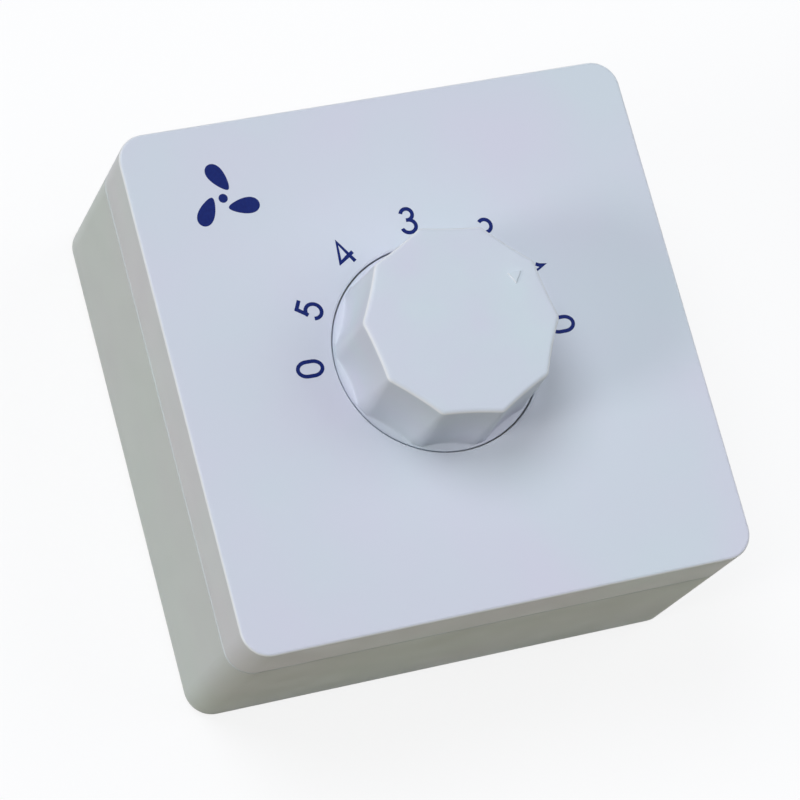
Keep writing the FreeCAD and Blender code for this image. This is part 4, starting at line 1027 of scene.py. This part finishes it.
@dataclass
class FlutedKnob:
    """Ten-sided knob: rounded ridges that flare to a round skirt, with hollow flutes between them."""

    base_radius: float = 17.0
    top_radius: float = 15.9
    sides: int = 10
    skirt: float = 0.7
    skirt_round: float = 0.12
    skirt_halfway: float = 0.3
    tip_inset: float = 0.2
    ridge_base: float = 2.8
    ridge_top: float = 1.4
    flute_at_skirt: float = 0.35
    flute_deepest: float = 0.7
    flute_at_top: float = 0.15
    deepest_rise: float = 2.4
    root_fillet: float = 0.35
    edge_inset: float = 0.85
    edge_height: float = 0.65
    side_wall: float = 1.6
    top_wall: float = 2.0
    hub_radius: float = 5.2
    hub_length: float = 11.3
    shaft_radius: float = 3.02
    shaft_flat: float = 2.32
    slit: float = 1.0
    rib: float = 1.0
    rib_height: float = 4.0
    rib_count: int = 5
    rib_inner: float = 4.1
    mark_place: float = 11.95
    mark_length: float = 2.3
    mark_width: float = 2.4
    mark_rise: float = 0.25
    mark_top_share: float = 0.8
    angle: float = 27.5
    shaft_angle: float = 30.0
    ridge_steps: int = 8
    flute_steps: int = 14
    body_rows: int = 22
    row_growth: float = 1.6
    edge_rows: int = 7
    crease_angle: float = 30.0
    overcut: float = 1.0

    def __post_init__(self) -> None:
        """Takes the heights of foot and top from the plain knob, whose highest point is its pointer."""
        low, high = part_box("knob")
        self.foot = low.z / MM
        self.top = high.z / MM - self.mark_rise
        self.hub_foot = self.top - self.hub_length

    def outline(self, tip: float, ridge: float, flute: float) -> list[Point]:
        """Rounded ridges joined by hollow flutes that meet them in tangents.

        Args:
            tip: Radius at the ridges' tips.
            ridge: Radius of a ridge's round.
            flute: Depth of the hollow below a flat side.

        Returns:
            Points once round, as many at every size.
        """
        half = math.pi / self.sides
        centre = tip - ridge
        flat = centre * math.cos(half) + ridge
        low = flat - flute
        # The hollow's circle passes through the flute's bottom and touches the ridges' circles beside it.
        share = 2 * centre * low * math.cos(half)
        hollow = (ridge ** 2 - low ** 2 - centre ** 2 + share) / (2 * (low - flat))
        hollow_centre = low + hollow
        middle = Vector(turned((hollow_centre, 0.0), half))
        toward = Vector((middle.x - centre, middle.y)).normalized()
        meet = math.degrees(math.atan2(toward.y, toward.x))
        touch = Vector((centre, 0.0)) + toward * ridge
        start = math.degrees(math.atan2(touch.y - middle.y, touch.x - middle.x))
        far = 2 * (math.degrees(half) - 180) - start
        local = arc((centre, 0.0), (ridge, ridge), -meet, meet, self.ridge_steps)[:-1]
        local += arc((middle.x, middle.y), (hollow, hollow), start, far, self.flute_steps)[:-1]
        points: list[Point] = []
        for index in range(self.sides):
            turn = math.radians(self.angle) + 2 * half * index
            points += [turned(point, turn) for point in local]
        return points

    def flute_depth(self, rise: float, full: float) -> float:
        """Depth of the flutes at a height above the skirt.

        Args:
            rise: The height.
            full: Height from the skirt to where the top's edge begins.

        Returns:
            Depth of the hollow below a flat side.
        """
        if rise < self.deepest_rise:
            share = math.sin(rise / self.deepest_rise * math.pi / 2)
            return self.flute_at_skirt + share * (self.flute_deepest - self.flute_at_skirt)
        share = (rise - self.deepest_rise) / (full - self.deepest_rise)
        return self.flute_deepest + share * (self.flute_at_top - self.flute_deepest)

    def rows(self) -> list[tuple[list[Point], float]]:
        """Outlines of the outer surface from the foot to the top, each with its height.

        Returns:
            Pairs of an outline and its height.
        """
        skirt_top = self.foot + self.skirt
        round_off = self.skirt_round
        halfway = self.skirt_halfway * round_off
        ring = self.outline(self.base_radius - self.tip_inset, self.ridge_base, self.flute_at_skirt)
        bearings = [math.atan2(y, x) for x, y in ring]
        rows = []
        for inset, height in (
            (round_off, self.foot), (halfway, self.foot + halfway), (0.0, self.foot + round_off),
            (0.0, skirt_top - round_off), (halfway, skirt_top - halfway), (round_off, skirt_top),
        ):
            circle = [turned((self.base_radius - inset, 0.0), bearing) for bearing in bearings]
            rows.append((circle, height))
        full = self.top - self.edge_height - skirt_top
        base_tip = self.base_radius - self.skirt_round - self.tip_inset
        for row in range(self.body_rows + 1):
            rise = full * (row / self.body_rows) ** self.row_growth
            share = rise / full
            tip = base_tip + share * (self.top_radius - base_tip)
            ridge = self.ridge_base + share * (self.ridge_top - self.ridge_base)
            ring = self.outline(tip, ridge, self.flute_depth(rise, full))
            if rise < self.root_fillet:
                lift = self.root_fillet - math.sqrt(self.root_fillet ** 2 - (self.root_fillet - rise) ** 2)
                ring = [self.eased(point, lift) for point in ring]
            rows.append((ring, skirt_top + rise))
        for row in range(1, self.edge_rows + 1):
            bearing = math.pi / 2 * row / self.edge_rows
            tip = self.top_radius - self.edge_inset * (1 - math.cos(bearing))
            height = self.top - self.edge_height * (1 - math.sin(bearing))
            rows.append((self.outline(tip, self.ridge_top, self.flute_at_top), height))
        return rows

    def eased(self, point: Point, lift: float) -> Point:
        """Moves a point outward into the fillet at the foot, but not past the skirt's flat.

        Args:
            point: Point of an outline.
            lift: How far the fillet reaches out at its height.

        Returns:
            The moved point.
        """
        radius = math.hypot(*point)
        eased = min(radius + lift, self.base_radius - self.skirt_round - self.tip_inset)
        scale = max(eased, radius) / radius
        return (point[0] * scale, point[1] * scale)

    def shell(self) -> bpy.types.Mesh:
        """Outer surface, bottom rim and hollow as one closed mesh.

        Returns:
            The mesh.
        """
        rows = self.rows()
        count = len(rows[0][0])
        outer_count = len(rows)
        half = math.pi / self.sides
        bearings = [math.atan2(y, x) for x, y in rows[0][0]]
        for outer, height in ((self.base_radius, self.foot), (self.top_radius, self.top - self.top_wall)):
            # The inside has a flat side behind each flute.
            radius = outer - self.side_wall
            ring = []
            for bearing in bearings:
                local = (bearing - math.radians(self.angle)) % (2 * half) - half
                reach = radius * math.cos(half) / math.cos(local)
                ring.append(turned((reach, 0.0), bearing))
            rows.append((ring, height))
        vertices = [(x, y, height) for ring, height in rows for x, y in ring]
        seams = [(row, row + 1) for row in range(outer_count - 1)]
        seams += [(outer_count, 0), (outer_count + 1, outer_count)]
        faces = [face for low, high in seams for face in band(low * count, high * count, count)]
        faces.append([(outer_count - 1) * count + index for index in range(count)])
        faces.append([(outer_count + 1) * count + index for index in reversed(range(count))])
        mesh = mesh_from("knob_shell", vertices, faces)
        crease(mesh, self.crease_angle)
        return mesh

    def build(self, frame: Frame) -> None:
        """Makes the knob and lets it stand for the plain one.

        Args:
            frame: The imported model.
        """
        ceiling = self.top - self.top_wall
        body = Solid(self.shell())
        body.join(Solid.cylinder(self.hub_radius, self.hub_foot, ceiling + self.top_wall / 2))
        rib_length = self.top_radius - self.side_wall / 2 - self.rib_inner
        for index in range(self.rib_count):
            rib = Solid.block(
                (self.rib_inner, -self.rib / 2, ceiling - self.rib_height),
                (self.rib_inner + rib_length, self.rib / 2, ceiling + self.top_wall / 2),
            )
            rib.turn(math.radians(self.angle + index * 360.0 / self.rib_count))
            body.join(rib)
        bore = Solid.cylinder(self.shaft_radius, self.hub_foot - self.overcut, ceiling)
        bore.cut(Solid.block(
            (-2 * self.shaft_radius, -2 * self.shaft_radius, self.hub_foot - 2 * self.overcut),
            (-self.shaft_flat, 2 * self.shaft_radius, ceiling + self.overcut),
        ))
        bore.turn(math.radians(self.shaft_angle))
        body.cut(bore)
        slit = Solid.block(
            (-self.hub_radius - self.overcut, -self.slit / 2, self.hub_foot - self.overcut),
            (self.hub_radius + self.overcut, self.slit / 2, ceiling - self.rib_height),
        )
        slit.turn(math.radians(self.shaft_angle + 90.0))
        body.cut(slit)
        body.join(self.pointer())
        mesh = body.finished("fluted_knob")
        crease(mesh, self.crease_angle)
        knob = frame.add(mesh, "fluted_knob", Body.KNOB, WHITE_KNOB, "knob_abs")
        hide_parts("knob")

    def pointer(self) -> Solid:
        """Raised triangle that points at the chosen number.

        Returns:
            The triangle, sunk into the knob's top.
        """
        vertices = []
        for lift, share in ((-self.mark_rise, 1.0), (self.mark_rise, self.mark_top_share)):
            height = self.top + lift
            tip = self.mark_place + share * self.mark_length / 2
            base = self.mark_place - share * self.mark_length / 2
            half = share * self.mark_width / 2
            vertices += [(tip, 0.0, height), (base, half, height), (base, -half, height)]
        faces = [[2, 1, 0], [3, 4, 5]] + band(0, 3, 3)
        mark = Solid(mesh_from("pointer_mark", vertices, faces))
        mark.turn(math.radians(self.angle))
        return mark


@dataclass
class Dressing:
    """Which finish each CAD node of a sub-assembly gets."""

    title: str
    finishes: dict[str, Finish]

    def build(self, frame: Frame) -> None:
        """Dresses the sub-assembly's nodes.

        Args:
            frame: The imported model.
        """
        for node, finish in self.finishes.items():
            frame.dress(node, finish)
        LOG.info("%s: %d nodes dressed", self.title, len(self.finishes))


def inner_leads() -> dict[str, Finish]:
    """Insulation of each lead inside the case.

    Returns:
        Finishes by node.
    """
    colours = {
        "line_lead": ("red", "#B3281E", "#9A1D16"),
        "load_lead": ("black", "#1B1B1D", "#26262A"),
        "tap_lead_1": ("white", "#DEDEDA", "#CFCFC9"),
        "tap_lead_2": ("yellow", "#D9B327", "#C59C17"),
        "tap_lead_3": ("green", "#2F7A43", "#246536"),
        "tap_lead_4": ("blue", "#2B4FA0", "#203F86"),
        "tap_lead_5": ("orange", "#D26A22", "#B95816"),
    }
    return {
        node: LeadInsulation("extruded_pvc_" + word, colour, shade)
        for node, (word, colour, shade) in colours.items()
    }


def sub_assemblies() -> list[Dressing]:
    """Every sub-assembly whose nodes keep their CAD shape.

    Returns:
        The sub-assemblies in order.
    """
    speed_contacts = {"speed_contact_%d" % number: BRONZE for number in range(1, 6)}
    return [
        Dressing("enclosure", {
            "front_cover": WHITE_COVER, "back_box": WHITE_BOX, "mounting_frame": FRAME_ABS,
            "frame_screws": ZINC, "thread_inserts": BRASS,
        }),
        Dressing("rotary switch", {
            "knob_clip": SPRING, "switch_shaft": BRASS, "shaft_clip": SPRING, "switch_bushing": NICKEL,
            "lock_washer": ZINC, "bushing_nut": ZINC, "switch_case": NYLON, "index_wheel": NYLON,
            "detent_spring": SPRING, "rotor_contact": BRONZE, "contact_wafer": PHENOLIC,
            "common_contact": BRONZE, "tie_screws": ZINC, **speed_contacts,
        }),
        Dressing("choke", {
            "core_e": LAMINATIONS, "core_i": LAMINATIONS, "coil_bobbin": NYLON, "choke_winding": WINDING,
            "coil_tape": TAPE, "choke_bracket": ZINC, "bracket_screws": ZINC,
        }),
        Dressing("terminals", {
            "terminal_body": POLYAMIDE, "terminal_barrel_line": BRASS, "terminal_barrel_load": BRASS,
            "clamp_screws": ZINC, "terminal_screw": ZINC,
        }),
        Dressing("leads", inner_leads()),
    ]


@dataclass(frozen=True)
class Lamp:
    """One lamp far off, as wide as a soft box looks from the switch.

    Attributes:
        name: Name of the lamp.
        strength: Light that falls square on, in watts per square metre.
        direction: Way from the switch to the lamp.
        angle: How wide the lamp looks from the switch, in degrees.
        colour: Colour of its light.
    """

    name: str
    strength: float
    direction: Point3
    angle: float
    colour: str

    def hang(self) -> None:
        """Puts the lamp into the scene."""
        light = bpy.data.lights.new(self.name, "SUN")
        light.energy = self.strength
        light.angle = math.radians(self.angle)
        light.color = linear(self.colour)[:3]
        put_in(self.name, light).rotation_euler = Vector(self.direction).to_track_quat("Z", "Y").to_euler()


LAMPS = (
    Lamp("key_lamp", 1.24, (-0.35, 0.45, 0.82), 32.0, "#F0F4FF"),
    Lamp("window_lamp", 0.91, (-0.92, -0.1, 0.36), 16.0, "#FFFFFF"),
    Lamp("fill_lamp", 0.72, (0.7, 0.05, 0.7), 50.0, "#F5F9FF"),
    Lamp("ceiling_lamp", 0.62, (0.0, 0.0, 1.0), 90.0, "#F5F9FF"),
)


@dataclass
class Studio:
    """White table and backdrop, the lamps and the photograph's camera."""

    camera_place: Point3 = (-188.24, -134.55, 563.71)
    camera_aim: Point3 = (-8.34, -7.26, 42.5)
    camera_roll: float = -15.22
    lens: float = 161.96
    sensor: float = 36.0
    clip_near: float = 10.0
    clip_far: float = 50000.0
    table_size: float = 6000.0
    table_gap: float = 0.3
    table_thrown: str = "#8E8232"
    table_shaded: str = "#7C7C7C"
    table_glow: float = 0.82
    sky_strength: float = 0.06
    sky_colour: str = "#F5F9FF"
    white: str = "#FFFFFF"

    def build(self) -> None:
        """Sets the table, the lamps, the sky and the camera."""
        self.table()
        for lamp in LAMPS:
            lamp.hang()
        self.sky()
        self.camera()

    def table(self) -> None:
        """Lays the table under the switch: near white to look at, warm in the light that it throws back."""
        half = self.table_size / 2
        sides = ((-half, -half), (half, -half), (half, half), (-half, half))
        mesh = mesh_from("table", [(x, y, -self.table_gap) for x, y in sides], [[0, 1, 2, 3]])
        material = bpy.data.materials.new("white_table_paper")
        tree = empty_tree(material)
        paper = add_node(tree, "ShaderNodeBsdfDiffuse", {"Color": linear(self.table_thrown)})
        shaded = add_node(tree, "ShaderNodeBsdfDiffuse", {"Color": linear(self.table_shaded)})
        shine = {"Color": linear(self.white), "Strength": self.table_glow}
        glow = add_node(tree, "ShaderNodeEmission", shine)
        white = add_node(tree, "ShaderNodeAddShader", {0: shaded.outputs[0], 1: glow.outputs[0]})
        add_node(tree, "ShaderNodeOutputMaterial", {"Surface": self.by_ray(tree, paper, white)})
        mesh.materials.append(material)
        put_in("table", mesh)

    def by_ray(
        self, tree: bpy.types.NodeTree, thrown: bpy.types.Node, seen: bpy.types.Node,
    ) -> bpy.types.NodeSocket:
        """Tells what a surface throws onto others from what it looks like.

        Args:
            tree: Node tree of the surface or the world.
            thrown: Shader for scattered light.
            seen: Shader where the camera, a reflection or a view through glass looks.

        Returns:
            The mixed shader.
        """
        rays = add_node(tree, "ShaderNodeLightPath").outputs
        straight = rays["Is Camera Ray"]
        for kind in ("Is Glossy Ray", "Is Transmission Ray"):
            either = add_node(tree, "ShaderNodeMath", {0: straight, 1: rays[kind]}, operation="MAXIMUM")
            straight = either.outputs["Value"]
        ends = {0: straight, 1: thrown.outputs[0], 2: seen.outputs[0]}
        return add_node(tree, "ShaderNodeMixShader", ends).outputs[0]

    def sky(self) -> None:
        """Lights the room evenly and shows it white to the camera."""
        world = bpy.data.worlds.new("white_room")
        bpy.context.scene.world = world
        tree = empty_tree(world)
        even_light = {"Color": linear(self.sky_colour), "Strength": self.sky_strength}
        room = add_node(tree, "ShaderNodeBackground", even_light)
        white = add_node(tree, "ShaderNodeBackground", {"Color": linear(self.white), "Strength": 1.0})
        add_node(tree, "ShaderNodeOutputWorld", {"Surface": self.by_ray(tree, room, white)})

    def camera(self) -> None:
        """Sets the camera where the photograph was taken from."""
        lens = bpy.data.cameras.new("camera")
        lens.lens = self.lens
        lens.sensor_width = self.sensor
        lens.clip_start = self.clip_near * MM
        lens.clip_end = self.clip_far * MM
        camera = put_in("camera", lens)
        place = Vector(self.camera_place) * MM
        forward = (Vector(self.camera_aim) * MM - place).normalized()
        right = forward.cross(Vector((0.0, 1.0, 0.0))).normalized()
        upward = right.cross(forward)
        facing = Matrix((right, upward, -forward)).transposed().to_4x4()
        roll = Matrix.Rotation(math.radians(self.camera_roll), 4, "Z")
        camera.matrix_world = Matrix.Translation(place) @ facing @ roll
        bpy.context.scene.camera = camera
        bpy.context.scene.view_settings.view_transform = "Standard"


def main() -> None:
    """Loads the frame, builds every sub-assembly in order and sets the studio."""
    logging.basicConfig(level=logging.INFO, format="%(message)s")
    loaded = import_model()
    frame = Frame(loaded)
    for dressing in sub_assemblies():
        dressing.build(frame)
    FlutedKnob().build(frame)
    DialPrint().build(frame)
    Studio().build()


if __name__ == "__main__":
    main()
